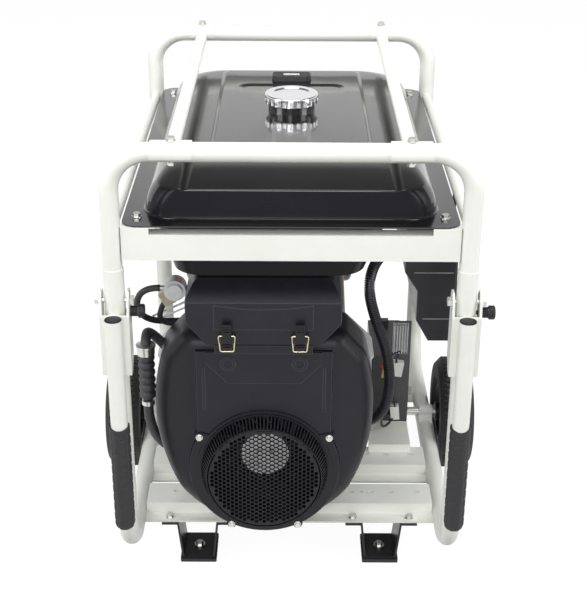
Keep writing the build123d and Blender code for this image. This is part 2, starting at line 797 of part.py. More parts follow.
cap_r = cap_diameter / 2
cap_bottom = seat_top + seat_gap
cap_crown = 3.0
cap_dish = 2.0
with BuildPart() as fuel_cap:
    with BuildSketch(Plane.XY.offset(cap_bottom)):
        with Locations((0, filler_y)):
            Circle(cap_r)
    extrude(amount=cap_height)
    fillet(fuel_cap.edges().group_by(Axis.Z)[-1], cap_crown)
    with BuildSketch(Plane.XY.offset(cap_bottom)):
        with Locations((0, filler_y)):
            with PolarLocations(cap_r + 2, cap_flutes):
                Circle(4.5)
    extrude(amount=cap_height - 2 * cap_crown, mode=Mode.SUBTRACT)
    with BuildSketch(Plane.XY.offset(cap_bottom)):
        with Locations((0, filler_y)):
            Circle(filler_radius + 1)
    extrude(amount=neck_top - cap_bottom + 2, mode=Mode.SUBTRACT)
    with BuildSketch(Plane.XY.offset(cap_bottom + cap_height)):
        with Locations((0, filler_y)):
            Circle(0.72 * cap_r)
    extrude(amount=-cap_dish, taper=45, mode=Mode.SUBTRACT)
save(fuel_cap, "fuel_cap")

# Fuel valve under the sump, with a quarter-turn lever
valve_x = valve_place[0]
valve_y = front_y + valve_place[1]
valve_r = 10.0
valve_height = 34.0
lever_r = 8.0
with BuildPart() as fuel_valve:
    with BuildSketch(Plane.XY.offset(tank_bottom)):
        with Locations((valve_x, valve_y)):
            Circle(valve_r + 4)
    extrude(amount=-5)
    with BuildSketch(Plane.XY.offset(tank_bottom)):
        with Locations((valve_x, valve_y)):
            Circle(valve_r)
    extrude(amount=-valve_height)
    with BuildSketch(Plane.YZ.offset(valve_x)):
        with Locations((valve_y, tank_bottom - 0.7 * valve_height)):
            Circle(4)
    extrude(amount=-3 * valve_r)
    with BuildSketch(Plane.XZ.offset(-valve_y)):
        with Locations((valve_x, tank_bottom - 0.6 * valve_height)):
            Circle(3)
    extrude(amount=valve_r + 3)
save(fuel_valve, "fuel_valve")

lever_back = valve_y - valve_r - 1
with BuildPart() as fuel_valve_lever:
    with BuildSketch(Plane.XZ.offset(-lever_back)):
        with Locations((valve_x, tank_bottom - 0.6 * valve_height)):
            Circle(lever_r)
            Rectangle(7, 26, align=(Align.CENTER, Align.MAX))
            Circle(3 + axle_clearance, mode=Mode.SUBTRACT)
    extrude(amount=4)
save(fuel_valve_lever, "fuel_valve_lever")

# Crankcase: base flange, V decks for two cylinders and one bore for the shaft line
case_floor = crank_height - member_top - mount_height
case_half = 115.0
deck_half = fin_width / 2
slope = sin(radians(bank_angle))
rise = cos(radians(bank_angle))
deck_out = (case_deck * slope + deck_half * rise, case_deck * rise - deck_half * slope)
deck_in = (case_deck * slope - deck_half * rise, case_deck * rise + deck_half * slope)
case_knee = (0.8 * case_half, 26 - case_floor)


def case_wall(height):
    """Half width of the crankcase at a height above the crank axis, below its decks."""
    share = (height - case_knee[1]) / (deck_out[1] - case_knee[1])
    return case_knee[0] + share * (deck_out[0] - case_knee[0])


with BuildPart() as crankcase:
    with BuildSketch(Plane.XZ.offset(-(engine_y + case_start))):
        with Locations((engine_x, crank_height)):
            Polygon(
                (-case_half, -case_floor),
                (case_half, -case_floor),
                (case_half, -case_floor + 14),
                case_knee,
                deck_out,
                deck_in,
                (-deck_in[0], deck_in[1]),
                (-deck_out[0], deck_out[1]),
                (-case_knee[0], case_knee[1]),
                (-case_half, -case_floor + 14),
                align=None,
            )
            Circle(shaft_diameter / 2 + shaft_clearance, mode=Mode.SUBTRACT)
    extrude(amount=-(case_end - case_start))
save(crankcase, "crankcase")

# Rubber mounts between the cross members and the engine or alternator feet
mount_ys = (member_starts[0] + member_top_flange / 2, member_starts[1] + member_top_flange / 2)
alternator_foot = member_starts[2] + member_top_flange / 2
mount_spots = [(engine_x + 95 * s, engine_y + y) for s in (-1, 1) for y in mount_ys]
with BuildPart() as engine_mounts:
    with BuildSketch(Plane.XY.offset(member_top)):
        with Locations(*mount_spots, (engine_x, engine_y + alternator_foot)):
            Circle(mount_diameter / 2)
    extrude(amount=mount_height)
save(engine_mounts, "engine_mounts")

# Finned cylinders with their heads, and the two valve covers
for side, name in ((-1, "left"), (1, "right")):
    bank = Plane(
        origin=(engine_x, engine_y + bore_start, crank_height),
        x_dir=(0, 1, 0),
        z_dir=(side * slope, 0, rise),
    )
    with BuildPart() as cylinder:
        with BuildSketch(bank.offset(case_deck)):
            Circle(0.4 * fin_width)
        extrude(amount=head_start - case_deck)
        for step in range(fin_count):
            with BuildSketch(bank.offset(case_deck + fin_pitch * (step + 1))):
                RectangleRounded(fin_width, fin_width, 12)
            extrude(amount=fin_thickness)
        with BuildSketch(bank.offset(head_start)):
            RectangleRounded(fin_width + 6, fin_width + 6, 10)
        extrude(amount=head_end - head_start)
    save(cylinder, f"cylinder_{name}")

valve_cover_draft = 10.0
with BuildPart() as valve_covers:
    for side in (-1, 1):
        bank = Plane(
            origin=(engine_x, engine_y + bore_start, crank_height),
            x_dir=(0, 1, 0),
            z_dir=(side * slope, 0, rise),
        )
        with BuildSketch(bank.offset(head_end)):
            RectangleRounded(fin_width, fin_width - 10, 16)
        extrude(amount=cover_end - head_end, taper=valve_cover_draft)
save(valve_covers, "valve_covers")

# Crankshaft line: fan nose with its hub disc and nut, straight journal, rotor and end bearing journal
nose = 84.0
fan_front = nose + 6.0
end_journal_r = 12.5
with BuildPart() as crankshaft:
    with BuildSketch(Plane.XZ.offset(-(engine_y + nose))):
        with Locations((engine_x, crank_height)):
            Circle(shaft_diameter / 2)
    extrude(amount=-(alternator_end - nose - 10))
    with BuildSketch(Plane.XZ.offset(-(engine_y + nose))):
        with Locations((engine_x, crank_height)):
            Circle(hub_disc_radius)
    extrude(amount=-(fan_front - nose - seat_gap))
    with BuildSketch(Plane.XZ.offset(-(engine_y + nose))):
        with Locations((engine_x, crank_height)):
            RegularPolygon(0.45 * shaft_diameter, 6)
    extrude(amount=10)
    with BuildSketch(Plane.XZ.offset(-(engine_y + case_end + 40))):
        with Locations((engine_x, crank_height)):
            Circle(rotor_radius)
    extrude(amount=-(alternator_end - case_end - 70))
    with BuildSketch(Plane.XZ.offset(-(engine_y + alternator_end - 10))):
        with Locations((engine_x, crank_height)):
            Circle(end_journal_r)
    extrude(amount=-(end_cover_depth + 5))
save(crankshaft, "crankshaft")

# Flywheel fan: moulded hub, back disc and curved blades keyed to the shaft nose
fan_back = 138.0
with BuildPart() as flywheel_fan:
    with BuildSketch(Plane.XZ.offset(-(engine_y + fan_front))):
        with Locations((engine_x, crank_height)):
            Circle(fan_hub_radius)
    extrude(amount=-(fan_back - fan_front))
    with BuildSketch(Plane.XZ.offset(-(engine_y + fan_back))):
        with Locations((engine_x, crank_height)):
            Circle(fan_radius)
    extrude(amount=6)
    with BuildSketch(Plane.XZ.offset(-(engine_y + fan_back))):
        with Locations((engine_x, crank_height)):
            with PolarLocations((fan_radius + fan_hub_radius) / 2 + 2, fan_blades):
                Rectangle(fan_radius - fan_hub_radius - 12, 4, rotation=25)
    extrude(amount=fan_back - fan_front - 8)
    with BuildSketch(Plane.XZ.offset(-(engine_y + fan_front))):
        with Locations((engine_x, crank_height)):
            Circle(shaft_diameter / 2 + shaft_clearance)
    extrude(amount=-(fan_back - fan_front), mode=Mode.SUBTRACT)
save(flywheel_fan, "flywheel_fan")


def housing_outline(inset):
    """Front outline of the fan housing about the crank axis, drawn in by inset."""
    low = (housing_low[0] - inset, housing_low[1])
    wide = (housing_wide[0] - inset, housing_wide[1])
    high = (housing_high[0] - inset, housing_high[1] - 0.4 * inset)
    top = (housing_top[0] - 0.4 * inset, housing_top[1] - inset)
    with BuildSketch() as outline:
        with BuildLine():
            ThreePointArc((-low[0], low[1]), (0, housing_base + inset), low)
            ThreePointArc(low, wide, high)
            Polyline(high, top, (-top[0], top[1]), (-high[0], high[1]))
            ThreePointArc((-high[0], high[1]), (-wide[0], wide[1]), (-low[0], low[1]))
        make_face()
        fillet(outline.vertices(), housing_corner - inset)
    return outline.sketch


def pad_outline(inset):
    """Raised face of the fan housing: a disc round the grille run up into a square shoulder."""
    with BuildSketch() as outline:
        Circle(grille_foot_radius + housing_pad_margin - inset)
        Rectangle(2 * (housing_pad_half - inset), housing_pad_top - inset, align=(Align.CENTER, Align.MIN))
    return outline.sketch


# Fan housing: moulded shell with a rounded front, a raised face under the grille and a bearing face behind
face_plane = Plane.XZ.shift_origin((engine_x, 0, crank_height)).offset(-(engine_y + housing_face))
shell_plane = face_plane.offset(-housing_pad)
shell_depth = housing_back - housing_face - housing_pad
plate_step = 4.0
boss_height = 237.0
ledge_top = filter_low - 1.0 - crank_height
keeper_height = ledge_top - ledge_height / 3
grille_bolt_spots = [
    (grille_bolt_circle * cos(radians(angle)), grille_bolt_circle * sin(radians(angle)))
    for angle in grille_bolt_angles
]
housing_outer = housing_outline(0)
housing_inner = housing_outline(housing_wall)
pad_outer = pad_outline(0)
pad_inner = pad_outline(housing_wall)
with BuildPart() as housing_cavity:
    with BuildSketch(shell_plane.offset(-housing_wall)):
        add(housing_inner)
    extrude(amount=-(shell_depth - 2 * housing_wall))
    fillet(housing_cavity.faces().sort_by(Axis.Y)[0].edges(), housing_round - housing_wall)

with BuildPart() as blower_housing:
    with BuildSketch(shell_plane):
        add(housing_outer)
    extrude(amount=-shell_depth)
    fillet(blower_housing.faces().sort_by(Axis.Y)[0].edges(), housing_round)
    with BuildSketch(shell_plane.offset(-housing_wall)):
        add(pad_outer)
    extrude(amount=housing_pad + housing_wall, taper=12)
    with BuildSketch(face_plane):
        Polygon(
            (-112, housing_pad_top),
            (112, housing_pad_top),
            (112, 236),
            (70, 192),
            (-70, 192),
            (-112, 236),
            align=None,
        )
    extrude(amount=plate_step, taper=25)
    with BuildSketch(face_plane.offset(plate_step)):
        with Locations((-latch_spread / 2, boss_height), (latch_spread / 2, boss_height)):
            Circle(15)
            Circle(9, mode=Mode.SUBTRACT)
    extrude(amount=plate_step / 2)
    with BuildSketch(shell_plane.offset(-housing_round)):
        with Locations((0, ledge_top)):
            Rectangle(2 * ledge_half, ledge_height, align=(Align.CENTER, Align.MAX))
    extrude(amount=housing_round + housing_pad + ledge_reach)
    with BuildSketch(face_plane.offset(ledge_reach)):
        with Locations((-latch_spread / 2, keeper_height), (latch_spread / 2, keeper_height)):
            Rectangle(keeper_size[0], keeper_size[1])
    extrude(amount=keeper_size[2])
    for side in (-1, 1):
        with BuildSketch(face_plane):
            with Locations((side * 0.87 * housing_pad_half, 178)):
                SlotOverall(94, 4, rotation=90)
        extrude(amount=-housing_wall + 0.8, mode=Mode.SUBTRACT)
    add(housing_cavity.part, mode=Mode.SUBTRACT)
    with BuildSketch(shell_plane.offset(-housing_wall)):
        add(pad_inner)
    extrude(amount=housing_pad, mode=Mode.SUBTRACT)
    with BuildSketch(face_plane):
        Circle(fan_opening)
    extrude(amount=-housing_round, mode=Mode.SUBTRACT)
    with BuildSketch(shell_plane.offset(-shell_depth)):
        Circle(0.75 * fan_opening)
    extrude(amount=housing_wall, mode=Mode.SUBTRACT)
    with BuildSketch(face_plane):
        with Locations(*grille_bolt_spots):
            Circle(grille_boss_r)
    extrude(amount=-grille_boss_depth)
    with BuildSketch(face_plane):
        with Locations(*grille_bolt_spots):
            Circle(grille_hole_r)
    extrude(amount=-grille_boss_depth, mode=Mode.SUBTRACT)
save(blower_housing, "blower_housing")

# Fan grille: honeycomb face on a slotted cone, with a flange and four bolt ears
grille_plane = face_plane.offset(housing_face - grille_front)
grille_depth = housing_face - grille_front
hole_limit = grille_face_radius - 6 - grille_pitch / 2
row_step = grille_pitch * sqrt(3) / 2
row_count = int(hole_limit / row_step)
column_count = int(hole_limit / grille_pitch) + 1
grille_holes = []
for row in range(-row_count, row_count + 1):
    for column in range(-column_count, column_count + 1):
        spot = ((column + 0.5 * (row % 2)) * grille_pitch, row * row_step)
        if hypot(*spot) < hole_limit:
            grille_holes.append(spot)
with BuildPart() as fan_grille:
    with BuildSketch(grille_plane.offset(-grille_depth)):
        Circle(grille_foot_radius)
    with BuildSketch(grille_plane):
        Circle(grille_face_radius)
    loft(ruled=True)
    with BuildSketch(grille_plane.offset(-grille_depth)):
        Circle(grille_flange_radius)
        for spot, angle in zip(grille_bolt_spots, grille_bolt_angles):
            with Locations(Location((spot[0] / 1.06, spot[1] / 1.06, 0), (0, 0, angle))):
                SlotOverall(40, 18)
        with Locations(*grille_bolt_spots):
            Circle(grille_hole_r, mode=Mode.SUBTRACT)
    extrude(amount=grille_sheet)
    with BuildSketch(grille_plane.offset(-grille_depth)):
        Circle(grille_foot_radius - grille_sheet)
    with BuildSketch(grille_plane):
        Circle(grille_face_radius - grille_sheet)
    loft(ruled=True, mode=Mode.SUBTRACT)
    with Locations(grille_plane.offset(-0.5 * grille_depth)):
        with PolarLocations((grille_face_radius + grille_foot_radius) / 2, grille_slots):
            Box(30, grille_slot_width, 0.6 * grille_depth, mode=Mode.SUBTRACT)
    with BuildSketch(grille_plane):
        Circle(grille_face_radius - grille_sheet / 3)
        with Locations(*grille_holes):
            RegularPolygon((grille_pitch - grille_web) / sqrt(3), 6, rotation=30, mode=Mode.SUBTRACT)
    extrude(amount=-grille_sheet)
save(fan_grille, "fan_grille")

# Grille bolts through the ears into the fan housing
grille_bolt = hex_bolt(6, grille_sheet + grille_boss_depth / 2, nut=False)
with BuildPart() as grille_bolts:
    with Locations(grille_plane.offset(-grille_depth + grille_sheet)):
        with Locations(*grille_bolt_spots):
            add(grille_bolt)
save(grille_bolts, "grille_bolts")

# Air filter cover over the pleated element, on top of the fan housing
filter_plane = Plane(origin=(engine_x, engine_y + filter_front, 0), x_dir=(1, 0, 0), z_dir=(0, -1, 0))
filter_depth = filter_back - filter_front
cover_seat = housing_roof + seat_gap


def cover_outline(inset):
    """Front outline of the air filter cover, drawn in by inset."""
    half = [
        (cover_foot - inset, filter_low + inset),
        (cover_half - inset, filter_low + cover_knees[0]),
        (cover_half - inset, filter_low + cover_knees[1]),
        (cover_crown - inset, cover_top - inset),
    ]
    with BuildSketch() as outline:
        Polygon(*half, *[(-x, z) for x, z in reversed(half)], align=None)
        fillet(outline.vertices(), cover_round)
    return outline.sketch


def brow_wedge(inset):
    """What is cut off the top front of the cover, so that its brow slopes back."""
    front = engine_y + filter_front
    with BuildPart() as wedge:
        with BuildSketch(Plane.YZ.offset(engine_x - 2 * cover_half)):
            Polygon(
                (front - 20, filter_low + cover_brow - 1.3 * inset),
                (front, filter_low + cover_brow - 1.3 * inset),
                (front + cover_brow_depth, cover_top - 1.3 * inset),
                (front + cover_brow_depth, cover_top + 20),
                (front - 20, cover_top + 20),
                align=None,
            )
        extrude(amount=4 * cover_half)
    return wedge.part


latch_pivot_y = engine_y + filter_front - latch_gap
latch_pivot_z = housing_roof + latch_rise
ear_height = 14.0
cover_outer = cover_outline(0)
cover_inner = cover_outline(filter_wall)
wedge_outer = brow_wedge(0)
wedge_inner = brow_wedge(filter_wall)
with BuildPart() as cover_cavity:
    with BuildSketch(filter_plane.offset(-4 * filter_wall)):
        add(cover_inner)
    extrude(amount=-filter_depth)
    add(wedge_inner, mode=Mode.SUBTRACT)

with BuildPart() as air_filter_cover:
    with BuildSketch(filter_plane):
        add(cover_outer)
    extrude(amount=-filter_depth)
    fillet(air_filter_cover.faces().sort_by(Axis.Y)[0].edges(), 6)
    add(wedge_outer, mode=Mode.SUBTRACT)
    with BuildSketch(filter_plane):
        with BuildLine():
            Polyline(
                (plate_half, filter_low + plate_high),
                (plate_half, filter_low + plate_low),
                (-plate_half, filter_low + plate_low),
                (-plate_half, filter_low + plate_high),
            )
            ThreePointArc(
                (-plate_half, filter_low + plate_high),
                (0, filter_low + plate_high - plate_arch),
                (plate_half, filter_low + plate_high),
            )
        make_face()
    extrude(amount=plate_rise)
    add(cover_cavity.part, mode=Mode.SUBTRACT)
    roof_cut = housing_face - filter_front - seat_gap
    with BuildSketch(filter_plane.offset(-roof_cut)):
        with Locations((0, cover_seat)):
            Rectangle(3 * cover_half, 200, align=(Align.CENTER, Align.MAX))
    extrude(amount=-filter_depth, mode=Mode.SUBTRACT)
    for side in (-1, 1):
        for ear in (-1, 1):
            with BuildSketch(Plane.YZ.offset(engine_x + side * latch_spread / 2 + ear * 11 - 1.5)):
                with Locations((engine_y + filter_front + 2 * filter_wall, latch_pivot_z)):
                    Rectangle(latch_gap + 2 * filter_wall + 5, ear_height, align=(Align.MAX, Align.CENTER))
                with Locations((latch_pivot_y, latch_pivot_z)):
                    Circle(2, mode=Mode.SUBTRACT)
            extrude(amount=3)
save(air_filter_cover, "air_filter_cover")

element_bottom = cover_seat
with BuildPart() as air_filter_element:
    with BuildSketch(Plane.XY.offset(element_bottom)):
        with Locations((engine_x, engine_y + 72)):
            RectangleRounded(180, 66, 20)
            RectangleRounded(150, 36, 12, mode=Mode.SUBTRACT)
    extrude(amount=76)
save(air_filter_element, "air_filter_element")

# Draw latches: lever on the cover ears and a wire bail that hooks under the keeper on the fan housing
bail_pivot = (latch_pivot_y - 4.0, latch_pivot_z + 11.0)
bail_hook = (
    engine_y + housing_face - ledge_reach - 3.2,
    crank_height + keeper_height - keeper_size[1] / 2 - bail_wire / 2 - bail_gap,
)
bail_drop = hypot(bail_hook[0] - bail_pivot[0], bail_hook[1] - bail_pivot[1])
lever_rib = 1.0
lever_heel = latch_gap - 0.5
for name, side in (("left", -1), ("right", 1)):
    x = engine_x + side * latch_spread / 2
    with BuildPart() as latch_lever:
        with BuildSketch(Plane.YZ.offset(x - latch_lever_width / 2)):
            with BuildLine():
                Polyline(
                    (latch_pivot_y, latch_pivot_z - lever_heel),
                    (latch_pivot_y - lever_heel - 1.5, latch_pivot_z - 2),
                    (latch_pivot_y - 9, latch_pivot_z + latch_lever_length),
                    (latch_pivot_y - 6, latch_pivot_z + latch_lever_length),
                    (latch_pivot_y + 1, latch_pivot_z + 16),
                    (latch_pivot_y + lever_heel, latch_pivot_z),
                )
                CenterArc((latch_pivot_y, latch_pivot_z), lever_heel, 0, -90)
            make_face()
        extrude(amount=latch_lever_width)
        for rib_height in (20, 25, 30):
            with Locations((x, latch_pivot_y - 8, latch_pivot_z + rib_height)):
                Box(latch_lever_width - 4, 2 + lever_rib, 2)
        with Locations(Location((x, bail_pivot[0], bail_pivot[1]), (0, 90, 0))):
            Cylinder(bail_wire / 2 + 0.1, 40, mode=Mode.SUBTRACT)
        with Locations(Location((x, latch_pivot_y, latch_pivot_z), (0, 90, 0))):
            Cylinder(1.95, 25)
    save(latch_lever, f"latch_lever_{name}")
    with BuildPart() as latch_bail:
        bail_plane = Plane(
            origin=(x, bail_pivot[0], bail_pivot[1]),
            x_dir=(1, 0, 0),
            z_dir=(0, bail_hook[1] - bail_pivot[1], bail_pivot[0] - bail_hook[0]),
        )
        with BuildLine(bail_plane) as route:
            FilletPolyline(
                (-1, 0),
                (-15.5, 0),
                (-12.5, -bail_drop),
                (12.5, -bail_drop),
                (15.5, 0),
                (1, 0),
                radius=3,
            )
        with BuildSketch(Plane(origin=route.line @ 0, z_dir=route.line % 0)):
            Circle(bail_wire / 2)
        sweep()
    save(latch_bail, f"latch_bail_{name}")

# Carburettor on the crankcase between the cylinders, with an intake elbow to the filter
carb_floor = crank_height + deck_in[1]
intake_height = housing_roof + 40
with BuildPart() as carburetor:
    with BuildSketch(Plane.XY.offset(carb_floor)):
        with Locations((engine_x, engine_y + 235)):
            RectangleRounded(60, 70, 10)
    extrude(amount=72)
    with BuildLine() as route:
        FilletPolyline(
            (engine_x, engine_y + 235, carb_floor + 70),
            (engine_x, engine_y + 235, intake_height),
            (engine_x, engine_y + 105 + seat_gap, intake_height),
            radius=45,
        )
    with BuildSketch(Plane(origin=route.line @ 0, z_dir=route.line % 0)):
        Circle(22)
    sweep()
save(carburetor, "carburetor")

# Alternator: stator housing with cooling ribs and a foot, and a vented end cover with the rear bearing
with BuildPart() as alternator_housing:
    with BuildSketch(Plane.XZ.offset(-(engine_y + case_end))):
        with Locations((engine_x, crank_height)):
            Circle(alternator_radius)
            Circle(alternator_bore, mode=Mode.SUBTRACT)
    extrude(amount=-(alternator_end - case_end))
    foot_top = crank_height - 0.9 * alternator_radius
    with BuildSketch(Plane.XY.offset(member_top + mount_height)):
        with Locations((engine_x, engine_y + alternator_foot)):
            Rectangle(90, 26)
    extrude(amount=foot_top - member_top - mount_height)
save(alternator_housing, "alternator_housing")

with BuildPart() as alternator_end_cover:
    with BuildSketch(Plane.XZ.offset(-(engine_y + alternator_end))):
        with Locations((engine_x, crank_height)):
            Circle(alternator_radius)
    extrude(amount=-end_cover_depth)
    fillet(alternator_end_cover.edges().group_by(Axis.Y)[-1], 14)
    with BuildSketch(Plane.XZ.offset(-(engine_y + alternator_end))):
        with Locations((engine_x, crank_height)):
            Circle(alternator_radius - 6)
            Circle(24, mode=Mode.SUBTRACT)
    extrude(amount=-(end_cover_depth - 8), mode=Mode.SUBTRACT)
    with BuildSketch(Plane.XZ.offset(-(engine_y + alternator_end))):
        with Locations((engine_x, crank_height)):
            Circle(end_journal_r + shaft_clearance)
    extrude(amount=-(end_cover_depth - 4), mode=Mode.SUBTRACT)
    with BuildSketch(Plane.XZ.offset(-(engine_y + alternator_end + end_cover_depth))):
        with Locations((engine_x, crank_height)):
            with PolarLocations(0.6 * alternator_radius, 12):
                SlotOverall(46, 10)
    extrude(amount=12, mode=Mode.SUBTRACT)
save(alternator_end_cover, "alternator_end_cover")

# Muffler above the alternator with its two exhaust pipes and a tail pipe
muffler_y = engine_y + 640
muffler_z = 500.0
muffler_half = 190.0
muffler_r = 72.0
muffler_width = 190.0
muffler_wall = 3.0
muffler_round = 14.0
pipe_r = 17.0
port = (head_start + head_end) / 2
with BuildPart() as muffler:
    with BuildSketch(Plane.YZ.offset(engine_x - muffler_half)):
        with Locations((muffler_y, muffler_z)):
            SlotOverall(muffler_width, 2 * muffler_r)
    extrude(amount=2 * muffler_half)
    for end in (0, -1):
        fillet(muffler.faces().sort_by(Axis.X)[end].edges(), muffler_round)
    with BuildSketch(Plane.YZ.offset(engine_x - muffler_half + muffler_round)):
        with Locations((muffler_y, muffler_z)):
            SlotOverall(muffler_width - 2 * muffler_wall, 2 * (muffler_r - muffler_wall))
    extrude(amount=2 * (muffler_half - muffler_round), mode=Mode.SUBTRACT)
    for side in (-1, 1):
        port_x = engine_x + side * port * slope
        with BuildLine() as route:
            FilletPolyline(
                (port_x, engine_y + bore_start + fin_width / 2 + 3, crank_height + port * rise),
                (port_x, engine_y + 420, crank_height + port * rise),
                (port_x, muffler_y - 40, muffler_z),
                radius=60,
            )
        with BuildSketch(Plane(origin=route.line @ 0, z_dir=route.line % 0)):
            Circle(pipe_r)
        sweep()
    with BuildSketch(Plane.XZ.offset(-muffler_y)):
        with Locations((engine_x - muffler_half + 60, muffler_z)):
            Circle(pipe_r)
    extrude(amount=-130)
    with BuildSketch(Plane.XZ.offset(-(muffler_y + 130))):
        with Locations((engine_x - muffler_half + 60, muffler_z)):
            Circle(pipe_r - 3)
    extrude(amount=40, mode=Mode.SUBTRACT)
    with BuildSketch(Plane.XY.offset(crank_height)):
        with Locations((engine_x, muffler_y)):
            Rectangle(70, 60)
    extrude(amount=muffler_z - muffler_r + muffler_wall - crank_height)
    with BuildSketch(Plane.XZ.offset(-(muffler_y - 100))):
        with Locations((engine_x, crank_height)):
            Circle(alternator_radius + slip_clearance)
    extrude(amount=-200, mode=Mode.SUBTRACT)
save(muffler, "muffler")

# Control box hung from the tank rail, and its panel with sockets, breaker and key switch
box_y = front_y + box_start
box_end = box_y + box_length
box_points = [
    (box_inner, box_top),
    (box_outer, box_top),
    (box_outer, box_bottom),
    (box_inner + 52, box_bottom),
    (box_inner + 26, box_bottom + 46),
    (box_inner + 26, box_bottom + 110),
    (box_inner, box_bottom + 150),
]
tab_width = 30.0
with BuildPart() as control_box:
    with BuildSketch(Plane.XZ.offset(-box_y)):
        Polygon(*box_points, align=None)
    extrude(amount=-box_length)
    with BuildSketch(Plane.XZ.offset(-(box_y + box_sheet))):
        Polygon(*box_points, align=None)
        offset(amount=-box_sheet, mode=Mode.REPLACE)
        with Locations((box_outer, (box_top + box_bottom) / 2)):
            Rectangle(20, box_top - box_bottom - 2 * box_sheet)
    extrude(amount=-(box_length - 2 * box_sheet), mode=Mode.SUBTRACT)
    for y in (box_y + 60, box_end - 60):
        with BuildSketch(Plane.XY.offset(box_top)):
            with Locations((box_outer - 4, y)):
                Rectangle(4, tab_width)
        extrude(amount=tank_rail_height - tank_rail_diameter / 2 - box_top - seat_gap)
save(control_box, "control_box")

panel_face = box_outer + 3
socket_ys = (box_y + 270, box_y + 360)
socket_z = box_bottom + 90
key_spot = (box_y + 60, box_bottom + 90)
breaker_spot = (box_y + 150, box_bottom + 90)
meter_spot = (box_y + 110, box_bottom + 190)
socket_size = 62.0
socket_depth = 10.0
lid_hinge_x = panel_face + socket_depth + 3
lid_hinge_z = socket_z + socket_size / 2 + 8
lid_pin_r = 1.5
lid_pin_length = 36.0
with BuildPart() as control_panel:
    with BuildSketch(Plane.YZ.offset(box_outer)):
        with Locations(((box_y + box_end) / 2, (box_top + box_bottom) / 2)):
            RectangleRounded(box_length, box_top - box_bottom, 4)
    extrude(amount=panel_face - box_outer)
    with BuildSketch(Plane.YZ.offset(panel_face)):
        for y in socket_ys:
            with Locations((y, socket_z)):
                RectangleRounded(socket_size, socket_size, 6)
        with Locations(breaker_spot):
            RectangleRounded(34, 56, 3)
        with Locations(meter_spot):
            RectangleRounded(70, 60, 5)
    extrude(amount=socket_depth)
    with BuildSketch(Plane.YZ.offset(panel_face + socket_depth)):
        for y in socket_ys:
            with Locations((y, socket_z)):
                Circle(20)
    extrude(amount=-socket_depth, mode=Mode.SUBTRACT)
    with BuildSketch(Plane.YZ.offset(panel_face + socket_depth)):
        with Locations(breaker_spot):
            Rectangle(16, 30)
    extrude(amount=-socket_depth - 1, mode=Mode.SUBTRACT)
    with BuildSketch(Plane.YZ.offset(panel_face)):
        with Locations(key_spot):
            Circle(16)
    extrude(amount=8)
    with BuildSketch(Plane.YZ.offset(panel_face + 8)):
        with Locations(key_spot):
            Circle(6 + axle_clearance)
    extrude(amount=-10, mode=Mode.SUBTRACT)
    with BuildSketch(Plane.YZ.offset(panel_face)):
        for y in socket_ys:
            with Locations((y, socket_z + socket_size / 2 + 8)):
                Rectangle(14, 10)
    extrude(amount=socket_depth + 6)
    for y in socket_ys:
        with Locations(Location((lid_hinge_x, y, lid_hinge_z), (90, 0, 0))):
            Cylinder(lid_pin_r, lid_pin_length)
save(control_panel, "control_panel")

# Moving pieces of the panel: key switch, breaker rocker and the two spring lids of the sockets
with BuildPart() as key_switch:
    with BuildSketch(Plane.YZ.offset(panel_face)):
        with Locations(key_spot):
            Circle(6)
    extrude(amount=10)
    with BuildSketch(Plane.YZ.offset(panel_face + 8 + seat_gap)):
        with Locations(key_spot):
            Circle(11)
            Rectangle(5, 34)
    extrude(amount=12)
save(key_switch, "key_switch")

rocker_x = panel_face + 4
breaker_tilt = 25.0
with BuildPart() as breaker_switch:
    with BuildSketch(Plane.XZ.offset(-(breaker_spot[0] - 7.4))):
        with Locations((rocker_x, breaker_spot[1])):
            Circle(3.4)
            Rectangle(18, 6, rotation=-breaker_tilt, align=(Align.MIN, Align.CENTER))
    extrude(amount=-14.8)
save(breaker_switch, "breaker_switch")

for name, y in (("front", socket_ys[0]), ("rear", socket_ys[1])):
    with BuildPart() as socket_lid:
        with BuildSketch(Plane.YZ.offset(panel_face + socket_depth + seat_gap)):
            with Locations((y, socket_z)):
                RectangleRounded(socket_size - 4, socket_size - 2, 6)
        extrude(amount=5)
        for reach in (-1, 1):
            with BuildSketch(Plane.XZ.offset(-(y + reach * 13 - 5))):
                with Locations((lid_hinge_x, lid_hinge_z)):
                    Circle(3)
                    Rectangle(4, 14, align=(Align.CENTER, Align.MAX))
                    Circle(lid_pin_r + axle_clearance, mode=Mode.SUBTRACT)
            extrude(amount=-10)
    save(socket_lid, f"socket_lid_{name}")

